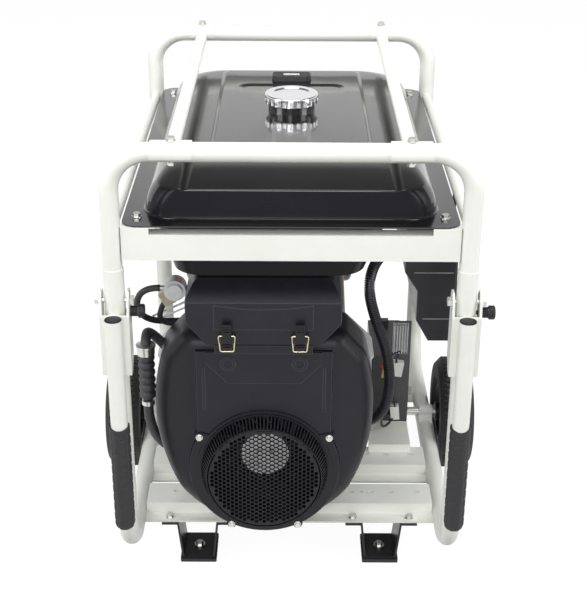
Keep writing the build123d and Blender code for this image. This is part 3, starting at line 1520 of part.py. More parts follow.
# Battery on a bridge tray over the axle, from the middle cross member to the rear one
battery_x = leg_x - battery_edge - battery_size[0] / 2
battery_y = front_y + battery_start + battery_size[1] / 2
tray_low = max(member_top, wheel_r + axle_r + tray_gap)
tray_top = tray_low + tray_sheet
tray_width = battery_size[0] + 2 * battery_margin
tray_foot = 15.0
tray_start = front_y + member_starts[1] + member_top_flange - 20
tray_end = front_y + member_starts[2] + 20
lip_length = battery_size[1] + 2 * battery_margin
lip_start = battery_y - lip_length / 2
with BuildPart() as battery_tray:
    with BuildSketch(Plane.XY.offset(tray_low)):
        with Locations((battery_x, tray_start)):
            Rectangle(tray_width, tray_end - tray_start, align=(Align.CENTER, Align.MIN))
    extrude(amount=tray_sheet)
    with BuildSketch(Plane.XY.offset(member_top)):
        with Locations((battery_x, tray_start + tray_foot / 2), (battery_x, tray_end - tray_foot / 2)):
            Rectangle(tray_width, tray_foot)
    extrude(amount=tray_top - member_top)
    with BuildSketch(Plane.XY.offset(tray_top)):
        with Locations((battery_x, battery_y)):
            Rectangle(tray_width, lip_length)
            Rectangle(tray_width - 2 * tray_sheet, lip_length - 2 * tray_sheet, mode=Mode.SUBTRACT)
    extrude(amount=tray_lip)
    with BuildSketch(Plane.XY.offset(tray_top)):
        with Locations((battery_x + tray_width / 2, lip_start)):
            Rectangle(upright_width, tray_sheet, align=(Align.MAX, Align.MAX))
    extrude(amount=upright_height)
save(battery_tray, "battery_tray")

post_inset = 20.0
with BuildPart() as battery:
    with BuildSketch(Plane.XY.offset(tray_top)):
        with Locations((battery_x, battery_y)):
            RectangleRounded(battery_size[0], battery_size[1], 4)
    extrude(amount=battery_size[2])
    with BuildSketch(Plane.XY.offset(tray_top + battery_size[2])):
        with Locations((battery_x, battery_y)):
            with GridLocations(0, battery_size[1] - 2 * post_inset, 1, 2):
                Rectangle(18, 16)
    extrude(amount=12)
save(battery, "battery")

# Fuel pump on a bracket over the fan housing, and the hose from it to the carburettor
pump_x = engine_x - housing_top[0] - 22
pump_y = engine_y + 125
pump_z = housing_roof + 56
pump_r = 21.0
with BuildPart() as fuel_pump:
    with BuildSketch(Plane.XZ.offset(-(pump_y - 15))):
        with Locations((pump_x, pump_z)):
            Circle(pump_r)
    extrude(amount=-30)
    with BuildSketch(Plane.XZ.offset(-(pump_y - 20))):
        with Locations((pump_x, pump_z)):
            Circle(0.7 * pump_r)
    extrude(amount=-10)
    with BuildSketch(Plane.YZ.offset(pump_x)):
        with Locations((pump_y, pump_z)):
            Circle(5)
    extrude(amount=-(pump_r + 8))
    with BuildSketch(Plane.XY.offset(cover_seat)):
        with Locations((pump_x + 28, pump_y)):
            Rectangle(20, 30)
    extrude(amount=4)
    with BuildSketch(Plane.XY.offset(cover_seat)):
        with Locations((pump_x + 22, pump_y)):
            Rectangle(6, 26)
    extrude(amount=pump_z - cover_seat)
save(fuel_pump, "fuel_pump")

hose_r = 6.5
hose_bore = 3.5
hose_points = [
    (pump_x - pump_r - 8 - seat_gap, pump_y, pump_z),
    (pump_x - pump_r - 42, pump_y, pump_z),
    (pump_x - pump_r - 60, pump_y + 8, pump_z - 44),
    (pump_x - pump_r - 40, pump_y + 30, pump_z - 84),
    (pump_x - 10, pump_y + 52, pump_z - 98),
    (pump_x + 60, pump_y + 90, pump_z - 108),
    (engine_x - 62, pump_y + 110, carb_floor + 40),
    (engine_x - 30 - seat_gap, pump_y + 110, carb_floor + 40),
]
with BuildPart() as fuel_hose:
    with BuildLine() as route:
        FilletPolyline(*hose_points, radius=20)
    with BuildSketch(Plane(origin=route.line @ 0, z_dir=route.line % 0)):
        Circle(hose_r)
        Circle(hose_bore, mode=Mode.SUBTRACT)
    sweep()
save(fuel_hose, "fuel_hose")


def ribbed_tube(route, rib_pitch, crest, root):
    """Corrugated tube along a path: ruled lofts of eight ribs each, through four circles for each rib."""
    ribs = max(2, round(route.length / rib_pitch))
    ribs_a_loft = 8
    with BuildPart() as tube:
        for first in range(0, ribs, ribs_a_loft):
            last = min(first + ribs_a_loft, ribs)
            stations = [(first, root)]
            for rib in range(first, last):
                stations += [(rib + 0.15, root), (rib + 0.35, crest), (rib + 0.65, crest), (rib + 0.85, root)]
            stations.append((last, root))
            for place, radius in stations:
                spot = place / ribs
                with BuildSketch(Plane(origin=route @ spot, x_dir=(0, 1, 0), z_dir=route % spot)):
                    Circle(radius)
            loft(ruled=True)
    return tube.part


# Breather: bellows beside the fan housing, its elbow to the left valve cover and a hose to the crankcase
bellows_x = engine_x - housing_wide[0] - 20
bellows_y = engine_y + 115
bellows_low = 392.0
bellows_high = 492.0
bellows_r = 15.0
breather_r = 10.0
breather_bore = 7.0
bellows_route = Line((bellows_x, bellows_y, bellows_low), (bellows_x, bellows_y, bellows_high))
bellows_body = ribbed_tube(bellows_route, 12.5, bellows_r, bellows_r - 3)
breather_port = bellows_low - 172.0
breather_port_x = engine_x - case_wall(breather_port + breather_r - crank_height) - seat_gap
hose_low_points = [
    (bellows_x, bellows_y, bellows_low),
    (bellows_x, bellows_y, bellows_low - 50),
    (bellows_x + 14, bellows_y + 15, bellows_low - 105),
    (bellows_x + 40, bellows_y + 52, bellows_low - 150),
    (bellows_x + 90, bellows_y + 75, breather_port),
    (breather_port_x, bellows_y + 75, breather_port),
]
cover_middle = (head_end + cover_end) / 2
vent_x = engine_x - slope * cover_middle
vent_lean = tan(radians(valve_cover_draft)) * ((cover_end - head_end) / 2 - breather_r)
vent_y = engine_y + bore_start - fin_width / 2 + vent_lean - seat_gap
vent_z = crank_height + rise * cover_middle
hose_high_points = [
    (bellows_x, bellows_y, bellows_high),
    (bellows_x, bellows_y, bellows_high + 32),
    (bellows_x, vent_y - 29, bellows_high + 32),
    (vent_x, vent_y - 29, vent_z),
    (vent_x, vent_y, vent_z),
]
with BuildPart() as breather_hose:
    add(bellows_body)
    for points, bend in ((hose_low_points, 16), (hose_high_points, 11)):
        with BuildLine() as route:
            FilletPolyline(*points, radius=bend)
        with BuildSketch(Plane(origin=route.line @ 0, z_dir=route.line % 0)):
            Circle(breather_r)
            Circle(breather_bore, mode=Mode.SUBTRACT)
        sweep()
    with BuildSketch(Plane.XY.offset(bellows_low)):
        with Locations((bellows_x, bellows_y)):
            Circle(breather_bore)
    extrude(amount=bellows_high - bellows_low, mode=Mode.SUBTRACT)
save(breather_hose, "breather_hose")

# Wiring conduit: corrugated tube from the control box past the right cylinder to the crankcase
conduit_y = engine_y + 125
conduit_r = 9.5
conduit_bore = 6.0
conduit_pitch = 10.0
conduit_points = [
    (box_inner - seat_gap, conduit_y + 90, 668),
    (box_inner - 38, conduit_y + 90, 668),
    (160, conduit_y + 32, 668),
    (148, conduit_y, 630),
    (166, conduit_y, 560),
    (193, conduit_y, 490),
    (200, conduit_y, 400),
    (182, conduit_y + 20, 330),
    (130, conduit_y + 72, crank_height),
    (engine_x + case_wall(conduit_r) + seat_gap, conduit_y + 72, crank_height),
]
conduit_route = FilletPolyline(*conduit_points, radius=28)
conduit_body = ribbed_tube(conduit_route, conduit_pitch, conduit_r, conduit_r - 1.6)
with BuildPart() as wiring_conduit:
    add(conduit_body)
    with BuildLine():
        add(conduit_route)
    with BuildSketch(Plane(origin=conduit_route @ 0, z_dir=conduit_route % 0)):
        Circle(conduit_bore)
    sweep(mode=Mode.SUBTRACT)
save(wiring_conduit, "wiring_conduit")
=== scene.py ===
import bmesh
import bpy
from math import cos, pi, radians, sin, sqrt
from mathutils import Matrix, Vector


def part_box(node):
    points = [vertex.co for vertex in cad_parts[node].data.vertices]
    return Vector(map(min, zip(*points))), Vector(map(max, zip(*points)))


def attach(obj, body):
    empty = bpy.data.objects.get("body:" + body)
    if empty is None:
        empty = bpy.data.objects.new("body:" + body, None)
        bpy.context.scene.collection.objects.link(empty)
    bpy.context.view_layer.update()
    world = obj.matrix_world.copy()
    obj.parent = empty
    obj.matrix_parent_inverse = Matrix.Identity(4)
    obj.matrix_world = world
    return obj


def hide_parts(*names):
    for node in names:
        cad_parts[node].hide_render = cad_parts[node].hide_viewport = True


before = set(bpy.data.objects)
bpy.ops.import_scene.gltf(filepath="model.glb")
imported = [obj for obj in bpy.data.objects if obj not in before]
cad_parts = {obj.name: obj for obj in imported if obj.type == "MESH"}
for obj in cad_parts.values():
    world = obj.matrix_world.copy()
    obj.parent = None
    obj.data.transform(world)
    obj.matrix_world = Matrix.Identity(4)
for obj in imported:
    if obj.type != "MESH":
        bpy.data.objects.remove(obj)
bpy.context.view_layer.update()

# Floor, light and camera: a wide pale floor in a plain surround, with four large soft lamps about it.
# The camera looks down on the fan end, from the place and at the tilt that the frame's tubes give.
camera_place = Vector((-0.0022, -2.4788, 1.658))
camera_pitch = radians(25.59)
camera_yaw = radians(0.20)
camera_roll = radians(-0.37)
camera_focus = 1262.6
picture_height = 600
ahead = Vector((sin(camera_yaw) * cos(camera_pitch), cos(camera_yaw) * cos(camera_pitch), -sin(camera_pitch)))
level = Vector((cos(camera_yaw), -sin(camera_yaw), 0))
below = ahead.cross(level)
across = cos(camera_roll) * level + sin(camera_roll) * below
above = sin(camera_roll) * level - cos(camera_roll) * below
camera = bpy.data.objects.new("Camera", bpy.data.cameras.new("Camera"))
camera.data.sensor_width = 36
camera.data.lens = camera.data.sensor_width * camera_focus / picture_height
camera.data.clip_end = 60
camera.matrix_world = Matrix.Translation(camera_place) @ Matrix((across, above, -ahead)).transposed().to_4x4()
bpy.context.collection.objects.link(camera)
bpy.context.scene.camera = camera
bpy.context.scene.view_settings.view_transform = "Standard"

surround = bpy.data.worlds.new("Surround")
surround.use_nodes = True
bpy.context.scene.world = surround
sky = surround.node_tree
around = sky.nodes.new("ShaderNodeTexCoord")
rise = sky.nodes.new("ShaderNodeSeparateXYZ")
sky.links.new(around.outputs["Generated"], rise.inputs["Vector"])
shade = sky.nodes.new("ShaderNodeValToRGB")
shade.color_ramp.elements[0].position = 0.30
shade.color_ramp.elements[0].color = (1, 1, 1, 1)
shade.color_ramp.elements[1].position = 0.52
shade.color_ramp.elements[1].color = (0.2, 0.2, 0.2, 1)
sky.links.new(rise.outputs["Z"], shade.inputs["Fac"])
sky.links.new(shade.outputs["Color"], sky.nodes["Background"].inputs["Color"])
sky.nodes["Background"].inputs["Strength"].default_value = 1.0

lamp_target = Vector((0, 0, 0.45))
for name, place, size, power in (
    ("Lamp_top", (0.0, -0.6, 3.4), 2.4, 70),
    ("Lamp_left", (-3.0, -1.6, 1.8), 1.6, 52),
    ("Lamp_right", (3.0, -1.4, 1.8), 1.6, 52),
    ("Lamp_front", (-0.3, -3.9, 2.3), 1.6, 46),
):
    lamp = bpy.data.objects.new(name, bpy.data.lights.new(name, "AREA"))
    lamp.data.size = size
    lamp.data.energy = power
    lamp.location = place
    lamp.rotation_euler = (lamp_target - lamp.location).to_track_quat("-Z", "Y").to_euler()
    bpy.context.collection.objects.link(lamp)


def seen_rays(tree):
    """Socket that is 1 for camera, glossy and transmission rays."""
    path = tree.nodes.new("ShaderNodeLightPath")
    first = tree.nodes.new("ShaderNodeMath")
    first.operation = "MAXIMUM"
    tree.links.new(path.outputs["Is Camera Ray"], first.inputs[0])
    tree.links.new(path.outputs["Is Glossy Ray"], first.inputs[1])
    both = tree.nodes.new("ShaderNodeMath")
    both.operation = "MAXIMUM"
    tree.links.new(first.outputs[0], both.inputs[0])
    tree.links.new(path.outputs["Is Transmission Ray"], both.inputs[1])
    return both.outputs[0]


floor_half = 30
floor_corners = [(x * floor_half, y * floor_half, 0) for x, y in ((-1, -1), (1, -1), (1, 1), (-1, 1))]
floor_mesh = bpy.data.meshes.new("Floor")
floor_mesh.from_pydata(floor_corners, [], [(0, 1, 2, 3)])
floor = bpy.data.objects.new("Floor", floor_mesh)
floor.location.z = -0.0005
bpy.context.collection.objects.link(floor)
pale = bpy.data.materials.new("Pale_floor")
pale.use_nodes = True
ground = pale.node_tree
ground.nodes["Principled BSDF"].inputs["Base Color"].default_value = (0.86, 0.86, 0.86, 1)
ground.nodes["Principled BSDF"].inputs["Roughness"].default_value = 0.9
lift = ground.nodes.new("ShaderNodeEmission")
lift.inputs["Color"].default_value = (1, 1, 1, 1)
glow = ground.nodes.new("ShaderNodeMath")
glow.operation = "MULTIPLY"
glow.inputs[1].default_value = 1.1
ground.links.new(seen_rays(ground), glow.inputs[0])
ground.links.new(glow.outputs[0], lift.inputs["Strength"])
veil = ground.nodes.new("ShaderNodeMixShader")
veil.inputs["Fac"].default_value = 0.85
ground.links.new(ground.nodes["Principled BSDF"].outputs[0], veil.inputs[1])
ground.links.new(lift.outputs[0], veil.inputs[2])
ground.links.new(veil.outputs[0], ground.nodes["Material Output"].inputs["Surface"])
floor_mesh.materials.append(pale)


# Tube frame: bent steel tube hoops and loops, rails, pressed cross panels and slotted floor members.
# All of it is welded or bolted up and powder coated in one cream colour, with a fine orange peel.
def finish(
    name, dark, light, patch, rough, grain, depth,
    metal=0.0, coat=0.0, sheen=0.5, stretch=(1, 1, 1), edge_highlight=None,
):
    """Node material: colour and roughness wander over patches, and the bump follows the grain.
    An edge_highlight colour, when given, is a painted highlight along the edges, where they round over."""
    made = bpy.data.materials.new(name)
    made.use_nodes = True
    tree = made.node_tree
    shader = tree.nodes["Principled BSDF"]
    shader.inputs["Metallic"].default_value = metal
    shader.inputs["Coat Weight"].default_value = coat
    shader.inputs["Coat Roughness"].default_value = 0.06
    shader.inputs["Specular IOR Level"].default_value = sheen
    where = tree.nodes.new("ShaderNodeTexCoord")
    pull = tree.nodes.new("ShaderNodeMapping")
    pull.inputs["Scale"].default_value = stretch
    tree.links.new(where.outputs["Object"], pull.inputs["Vector"])
    wander = tree.nodes.new("ShaderNodeTexNoise")
    wander.inputs["Scale"].default_value = patch
    wander.inputs["Detail"].default_value = 6
    wander.inputs["Roughness"].default_value = 0.65
    tree.links.new(pull.outputs["Vector"], wander.inputs["Vector"])
    tint = tree.nodes.new("ShaderNodeValToRGB")
    tint.color_ramp.elements[0].position = 0.3
    tint.color_ramp.elements[0].color = (*dark, 1)
    tint.color_ramp.elements[1].position = 0.7
    tint.color_ramp.elements[1].color = (*light, 1)
    tree.links.new(wander.outputs["Fac"], tint.inputs["Fac"])
    colour = tint.outputs["Color"]
    # Painted highlight: where the bevel normal turns from the face's normal, the colour goes over to the
    # lighter edge colour.
    if edge_highlight:
        rounded = tree.nodes.new("ShaderNodeBevel")
        rounded.samples = 6
        rounded.inputs["Radius"].default_value = 0.003
        surface = tree.nodes.new("ShaderNodeNewGeometry")
        turned_by = tree.nodes.new("ShaderNodeVectorMath")
        turned_by.operation = "DOT_PRODUCT"
        tree.links.new(rounded.outputs["Normal"], turned_by.inputs[0])
        tree.links.new(surface.outputs["Normal"], turned_by.inputs[1])
        edge = tree.nodes.new("ShaderNodeMapRange")
        edge.inputs["From Min"].default_value = 0.995
        edge.inputs["From Max"].default_value = 0.93
        tree.links.new(turned_by.outputs["Value"], edge.inputs["Value"])
        edge_lit = tree.nodes.new("ShaderNodeMix")
        edge_lit.data_type = "RGBA"
        edge_lit.inputs["B"].default_value = (*edge_highlight, 1)
        tree.links.new(edge.outputs["Result"], edge_lit.inputs["Factor"])
        tree.links.new(colour, edge_lit.inputs["A"])
        colour = edge_lit.outputs["Result"]
    tree.links.new(colour, shader.inputs["Base Color"])
    speck = tree.nodes.new("ShaderNodeTexNoise")
    speck.inputs["Scale"].default_value = grain
    speck.inputs["Detail"].default_value = 3
    tree.links.new(pull.outputs["Vector"], speck.inputs["Vector"])
    dull = tree.nodes.new("ShaderNodeMapRange")
    dull.inputs["From Min"].default_value = 0.3
    dull.inputs["From Max"].default_value = 0.7
    dull.inputs["To Min"].default_value = rough[0]
    dull.inputs["To Max"].default_value = rough[1]
    tree.links.new(wander.outputs["Fac"], dull.inputs["Value"])
    tree.links.new(dull.outputs["Result"], shader.inputs["Roughness"])
    relief = tree.nodes.new("ShaderNodeBump")
    relief.inputs["Strength"].default_value = 0.6
    relief.inputs["Distance"].default_value = depth
    tree.links.new(speck.outputs["Fac"], relief.inputs["Height"])
    tree.links.new(relief.outputs["Normal"], shader.inputs["Normal"])
    return made


def dress(material, *names):
    """Gives CAD nodes a finish."""
    for name in names:
        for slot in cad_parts[name].material_slots:
            slot.material = material


cream_dark, cream_light = (0.78, 0.795, 0.735), (0.84, 0.85, 0.80)
cream_coat = finish(
    "Cream_powder_coat",
    dark=cream_dark, light=cream_light, patch=9, rough=(0.30, 0.42), grain=420, depth=0.0002, coat=0.15,
)
dress(cream_coat, "front_hoop", "rear_hoop", "side_loop_left", "side_loop_right", "top_rails", "cross_panels")
dress(cream_coat, "tank_rails", "cross_members", "axle_brackets", "handle_left", "handle_right")

# Frame bolts: zinc plated hexagon bolts, forged and thread rolled.
# They hold the saddles, the tank's flange, the feet, the handle pivots and the fan grille.
zinc_plate = finish(
    "Zinc_plate",
    dark=(0.55, 0.55, 0.53), light=(0.78, 0.77, 0.74), patch=60,
    rough=(0.22, 0.4), grain=900, depth=0.00005, metal=1.0,
)
dress(zinc_plate, "frame_bolts", "grille_bolts")

# Feet: hat-shaped brackets folded from strip and painted satin black, bolted under the front floor member.
# Each stands on a ribbed sole of moulded rubber.
black_paint = finish(
    "Satin_black_paint",
    dark=(0.007, 0.007, 0.009), light=(0.012, 0.012, 0.015), patch=14,
    rough=(0.28, 0.4), grain=500, depth=0.0001, sheen=0.4,
)
moulded_rubber = finish(
    "Moulded_rubber",
    dark=(0.011, 0.011, 0.013), light=(0.02, 0.02, 0.022), patch=30,
    rough=(0.55, 0.7), grain=800, depth=0.0002,
)
dress(black_paint, "foot_brackets")
dress(moulded_rubber, "foot_pads")


# Sole bolts: a zinc plated hexagon bolt on a round washer in each foot.
# It clamps the foot's bracket to its rubber sole.
def skin(name, points, sides):
    """Closed smooth piece over rings of points, each ring with the same number of sides, from end to end."""
    last_ring = len(points) - sides
    faces = []
    for ring in range(0, last_ring, sides):
        for side in range(sides):
            a = ring + side
            b = ring + (side + 1) % sides
            faces.append((a, b, b + sides, a + sides))
    faces.append(tuple(reversed(range(sides))))
    faces.append(tuple(range(last_ring, last_ring + sides)))
    mesh = bpy.data.meshes.new(name)
    mesh.from_pydata(points, [], faces)
    mesh.shade_smooth()
    piece = bpy.data.objects.new(name, mesh)
    bpy.context.collection.objects.link(piece)
    return piece


def turned(name, profile, middle, sides=48):
    """Closed solid of revolution about a vertical line: profile is (radius, height) from bottom to top."""
    points = []
    for radius, height in profile:
        for side in range(sides):
            turn = 2 * pi * side / sides
            points.append((middle[0] + radius * cos(turn), middle[1] + radius * sin(turn), height))
    return skin(name, points, sides)


def sharpen(piece, angle):
    """Keeps the piece's hard edges hard under smooth shading."""
    piece.data.set_sharp_from_angle(angle=radians(angle))


foot_y = -0.2581
sole_top = 0.012
washer_profile = [(0.0115, sole_top - 0.0003), (0.0115, sole_top + 0.0018)]
bolt_profile = [(0.0078, sole_top + 0.0015), (0.0078, sole_top + 0.0075), (0.0068, sole_top + 0.0082)]
for side, foot_x in (("left", -0.192), ("right", 0.192)):
    washer = turned(f"Sole_washer_{side}", washer_profile, (foot_x, foot_y), 40)
    head = turned(f"Sole_bolt_{side}", bolt_profile, (foot_x, foot_y), 6)
    for piece in (washer, head):
        sharpen(piece, 25)
        piece.data.materials.append(zinc_plate)
        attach(piece, "frame")

# Wheels: pressed steel rims painted black, with solid lugged tyres of moulded rubber.
# They turn on the ends of a plain turned steel axle.
tyre_rubber = finish(
    "Tyre_rubber",
    dark=(0.012, 0.012, 0.013), light=(0.028, 0.028, 0.028), patch=22,
    rough=(0.6, 0.8), grain=600, depth=0.0003,
)
bare_steel = finish(
    "Turned_steel",
    dark=(0.42, 0.42, 0.42), light=(0.62, 0.62, 0.61), patch=40,
    rough=(0.25, 0.4), grain=700, depth=0.00004, metal=1.0, stretch=(0.2, 1, 1),
)
dress(tyre_rubber, "tyre_left", "tyre_right")
dress(black_paint, "rim_left", "rim_right")
dress(bare_steel, "axle")

# Handle grips: soft black rubber sleeves moulded with staggered pads for the hand, and closed at the end.
# Each is pushed over its handle's tube, and its mouth dips a little to the sides.
grip_pitch = 0.021
grip_columns = 8
grip_steps = 132
grip_sides = 64
grip_end = 0.016
grip_mouth = 0.008
mouth_dip, dip_run = 0.006, 0.03
pad_edge = 2.2
for side in ("left", "right"):
    low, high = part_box(f"grip_{side}")
    middle = (low + high) / 2
    outer = (high.x - low.x) / 2
    points = []
    for step in range(grip_steps + 1):
        height = low.z + (high.z - low.z) * step / grip_steps
        ended = min(1, (height - low.z) / grip_end)
        crown = 0.35 + 0.65 * sqrt(1 - (1 - ended) ** 2)
        for n in range(grip_sides):
            turn = 2 * pi * n / grip_sides
            column = n * grip_columns / grip_sides
            pad = 0.5 - 0.5 * cos(2 * pi * column)
            row = (height - low.z) / grip_pitch + 0.5 * (int(column) % 2)
            swell = min(1, pad_edge * abs(sin(pi * row))) * min(1, pad_edge * pad)
            if height > high.z - grip_mouth:
                swell = 1
            radius = outer * crown * (0.925 + 0.075 * swell)
            dip = mouth_dip * (0.5 - 0.5 * cos(2 * turn)) * max(0, (height - high.z + dip_run) / dip_run)
            points.append((middle.x + radius * cos(turn), middle.y + radius * sin(turn), height - dip))
    grip = skin(f"Grip_{side}", points, grip_sides)
    sharpen(grip, 50)
    grip.data.materials.append(moulded_rubber)
    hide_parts(f"grip_{side}")
    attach(grip, f"handle_{side}")

# Handle plugs: black moulded plugs pushed into the upper ends of the handle tubes.
# Their heads are low domes, which clear the frame's legs when the handles swing out.
moulded_black = finish(
    "Moulded_black",
    dark=(0.0065, 0.0065, 0.0095), light=(0.0105, 0.0105, 0.014), patch=25,
    rough=(0.34, 0.44), grain=1500, depth=0.0001, sheen=0.33,
)
tube_end = 0.642
plug_profile = [
    (0.0150, tube_end - 0.0005),
    (0.0158, tube_end + 0.0005),
    (0.0155, tube_end + 0.0011),
    (0.0135, tube_end + 0.0017),
    (0.0060, tube_end + 0.0020),
]
for side in ("left", "right"):
    low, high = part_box(f"grip_{side}")
    plug = turned(f"Handle_plug_{side}", plug_profile, (low + high) / 2)
    plug.data.materials.append(moulded_black)
    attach(plug, f"handle_{side}")

# Handle locks: spring pins with moulded black pull knobs.
# Each slides in a barrel that is welded to its handle's bracket.
dress(moulded_black, "lock_pin_left", "lock_pin_right")


# Lock sleeves: black ribbed sleeves, moulded in plastic.
# They are pressed over the barrels that guide the handles' lock pins.
def distances(places):
    """How far along the line each place lies."""
    lengths = [0.0]
    for a, b in zip(places, places[1:]):
        lengths.append(lengths[-1] + (b - a).length)
    return lengths


def tube(name, places, stations, sides=20):
    """Closed tube along places: stations are (share of the length, radius)."""
    lengths = distances(places)
    points = []
    up = Vector((0.31, 0.82, 0.47)).normalized()
    spot = 0
    for share, radius in stations:
        target = share * lengths[-1]
        while spot < len(places) - 2 and lengths[spot + 1] < target:
            spot += 1
        span = max(lengths[spot + 1] - lengths[spot], 1e-9)
        middle = places[spot].lerp(places[spot + 1], (target - lengths[spot]) / span)
        run = (places[spot + 1] - places[spot]).normalized()
        up = (up - run * up.dot(run)).normalized()
        beside = run.cross(up)
        for side in range(sides):
            turn = 2 * pi * side / sides
            points.append(tuple(middle + radius * (cos(turn) * up + sin(turn) * beside)))
    return skin(name, points, sides)


barrel_y, barrel_z = -0.4061, 0.642
barrel_start, barrel_end = 0.0275, 0.0415
rib_high, rib_low, sleeve_mouth = 0.0104, 0.0096, 0.0095
sleeve_stations = [(0.0, sleeve_mouth), (0.02, rib_high), (0.14, rib_high)]
for rib in range(4):
    for share, radius in ((0.16, rib_low), (0.24, rib_low), (0.26, rib_high), (0.34, rib_high)):
        sleeve_stations.append((share + 0.2 * rib, radius))
sleeve_stations += [(0.96, rib_high), (1.0, sleeve_mouth)]
for side, leg_x in (("left", -0.32), ("right", 0.32)):
    start = Vector((leg_x + barrel_start, barrel_y, barrel_z))
    end = Vector((leg_x + barrel_end, barrel_y, barrel_z))
    sleeve = tube(f"Lock_sleeve_{side}", [start, end], sleeve_stations, 32)
    sharpen(sleeve, 30)
    sleeve.data.materials.append(moulded_black)
    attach(sleeve, f"handle_{side}")

# Fuel tank: two deep pressed steel halves seamed at a flange and painted black, bolted to the frame's tabs.
# The upper half has round shoulders, a long front slope down to a crease, and a raised panel with a shallow
# recess round the filler's collar. The front wall and the pan below take a duller, less reflective copy of
# the black paint, as painted shade.
tank_gloss = finish(
    "Gloss_black_tank",
    dark=(0.006, 0.006, 0.0065), light=(0.010, 0.010, 0.011), patch=5,
    rough=(0.12, 0.2), grain=260, depth=0.00004, coat=0.6,
)
tank_shaded_satin = finish(
    "Satin_black_tank_painted_shade",
    dark=(0.007, 0.007, 0.010), light=(0.011, 0.011, 0.015), patch=5,
    rough=(0.2, 0.3), grain=260, depth=0.00004, sheen=0.16,
)


def ringed(name, rings, bend=10, run=6):
    """Closed skin through level rounded rectangles, from the lowest up.
    Each is its middle's x, nearest y, furthest y, half width, corner radius and z."""
    headings = (Vector((-1, 0, 0)), Vector((0, -1, 0)), Vector((1, 0, 0)), Vector((0, 1, 0)))
    points = []
    for x, near, far, half, corner, z in rings:
        for quarter, (right, back) in enumerate(((1, 1), (-1, 1), (-1, -1), (1, -1))):
            pivot_x = x + right * (half - corner)
            pivot_y = far - corner if back > 0 else near + corner
            for step in range(bend + 1):
                angle = radians(90 * quarter + 90 * step / bend)
                points.append((pivot_x + corner * cos(angle), pivot_y + corner * sin(angle), z))
            last = Vector(points[-1])
            straight = far - near - 2 * corner if quarter % 2 else 2 * (half - corner)
            for step in range(1, run):
                points.append(tuple(last + headings[quarter] * straight * step / run))
    piece = skin(name, points, 4 * (bend + run))
    sharpen(piece, 50)
    even = piece.modifiers.new("Even", "WEIGHTED_NORMAL")
    even.keep_sharp = True
    return piece


low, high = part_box("fuel_tank")
flange_half, flange_corner = (high.x - low.x) / 2, 0.030
flange_low, flange_top = 0.810, 0.813
body_front, body_rear = low.y + 0.035, high.y - 0.060
body_half, body_corner = 0.266, 0.055
crease_height, dome_top = 0.868, 0.884
side_run, front_run, rear_run = 0.060, 0.112, 0.045
pan_middle = (body_front + body_rear) / 2
rings = [
    (-0.040, pan_middle - 0.364, pan_middle + 0.300, 0.179, body_corner, low.z),
    (-0.035, body_front + 0.010, body_rear - 0.010, 0.220, body_corner, flange_low),
    (0, low.y, high.y, flange_half, flange_corner, flange_low),
    (0, low.y, high.y, flange_half, flange_corner, flange_top),
    (0, body_front - 0.004, body_rear + 0.004, body_half + 0.004, body_corner + 0.003, flange_top),
    (0, body_front - 0.001, body_rear + 0.001, body_half + 0.001, body_corner + 0.001, flange_top + 0.0015),
]


def shoulder(height):
    """How far the dome's round side has come in at a height, from 0 at its foot to 1 at the top."""
    return 1 - sqrt(max(0, 1 - ((height - flange_top) / (dome_top - flange_top)) ** 2))


wall_steps, slope_steps = 8, 16
wall_lean = 0.07
levels = []
for step in range(wall_steps + 1):
    height = flange_top + 0.004 + (crease_height - 0.0072 - flange_top) * step / wall_steps
    levels.append((height, wall_lean * (height - flange_top)))
wall_top, wall_in = levels[-1]
levels.append((crease_height - 0.0014, wall_in + 0.0008))
levels.append((crease_height - 0.0004, wall_in + 0.0022))
for step in range(1, slope_steps + 1):
    share = step / slope_steps
    height = crease_height + (dome_top - crease_height) * (1 - (1 - share) ** 2)
    levels.append((height, wall_in + 0.004 + (front_run - 0.008) * share))
for height, front_in in levels:
    drawn = shoulder(height)
    near, far = body_front + front_in, body_rear - rear_run * drawn
    rings.append((0, near, far, body_half - side_run * drawn, body_corner + 0.02 * drawn, height))

press_front = low.y + 0.010
panel_near, panel_far = press_front + 0.160, press_front + 0.746
panel_half, panel_corner = 0.153, 0.014
panel_head = dome_top + 0.004
for inset, height in (
    (-0.004, dome_top),
    (-0.001, dome_top + 0.0008),
    (0.004, panel_head - 0.0008),
    (0.007, panel_head),
):
    near, far = panel_near + inset, panel_far - inset
    rings.append((0, near, far, panel_half - inset, panel_corner, height))
recess_near, recess_far = press_front + 0.172, press_front + 0.636
recess_half, recess_corner = 0.115, 0.026
recess_floor = dome_top + 0.001
for inset, height in (
    (-0.002, panel_head),
    (0, panel_head - 0.0004),
    (0.010, recess_floor + 0.0004),
    (0.013, recess_floor),
):
    near, far = recess_near + inset, recess_far - inset
    rings.append((0, near, far, recess_half - inset, recess_corner - inset, height))
filler_y = press_front + 0.450
collar, collar_top = 0.048, 0.904
neck, bore, bore_end = 0.032, 0.028, 0.870
for radius, height in (
    (collar + 0.0015, recess_floor),
    (collar, recess_floor + 0.0015),
    (collar, collar_top - 0.001),
    (collar - 0.001, collar_top),
    (neck, collar_top),
    (neck, high.z),
    (bore, high.z),
    (bore, bore_end),
):
    rings.append((0, filler_y - radius, filler_y + radius, radius, radius - 0.0002, height))
tank = ringed("Fuel_tank", rings)
tank.data.materials.append(tank_gloss)
tank.data.materials.append(tank_shaded_satin)
# Painted shade: faces of the front wall and of the pan below the flange take the duller copy of the paint.
for face in tank.data.polygons:
    front_wall_shaded = face.normal.y < -0.5 and flange_top < face.center.z < wall_top
    if face.center.z < flange_low or front_wall_shaded:
        face.material_index = 1
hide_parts("fuel_tank")
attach(tank, "frame")

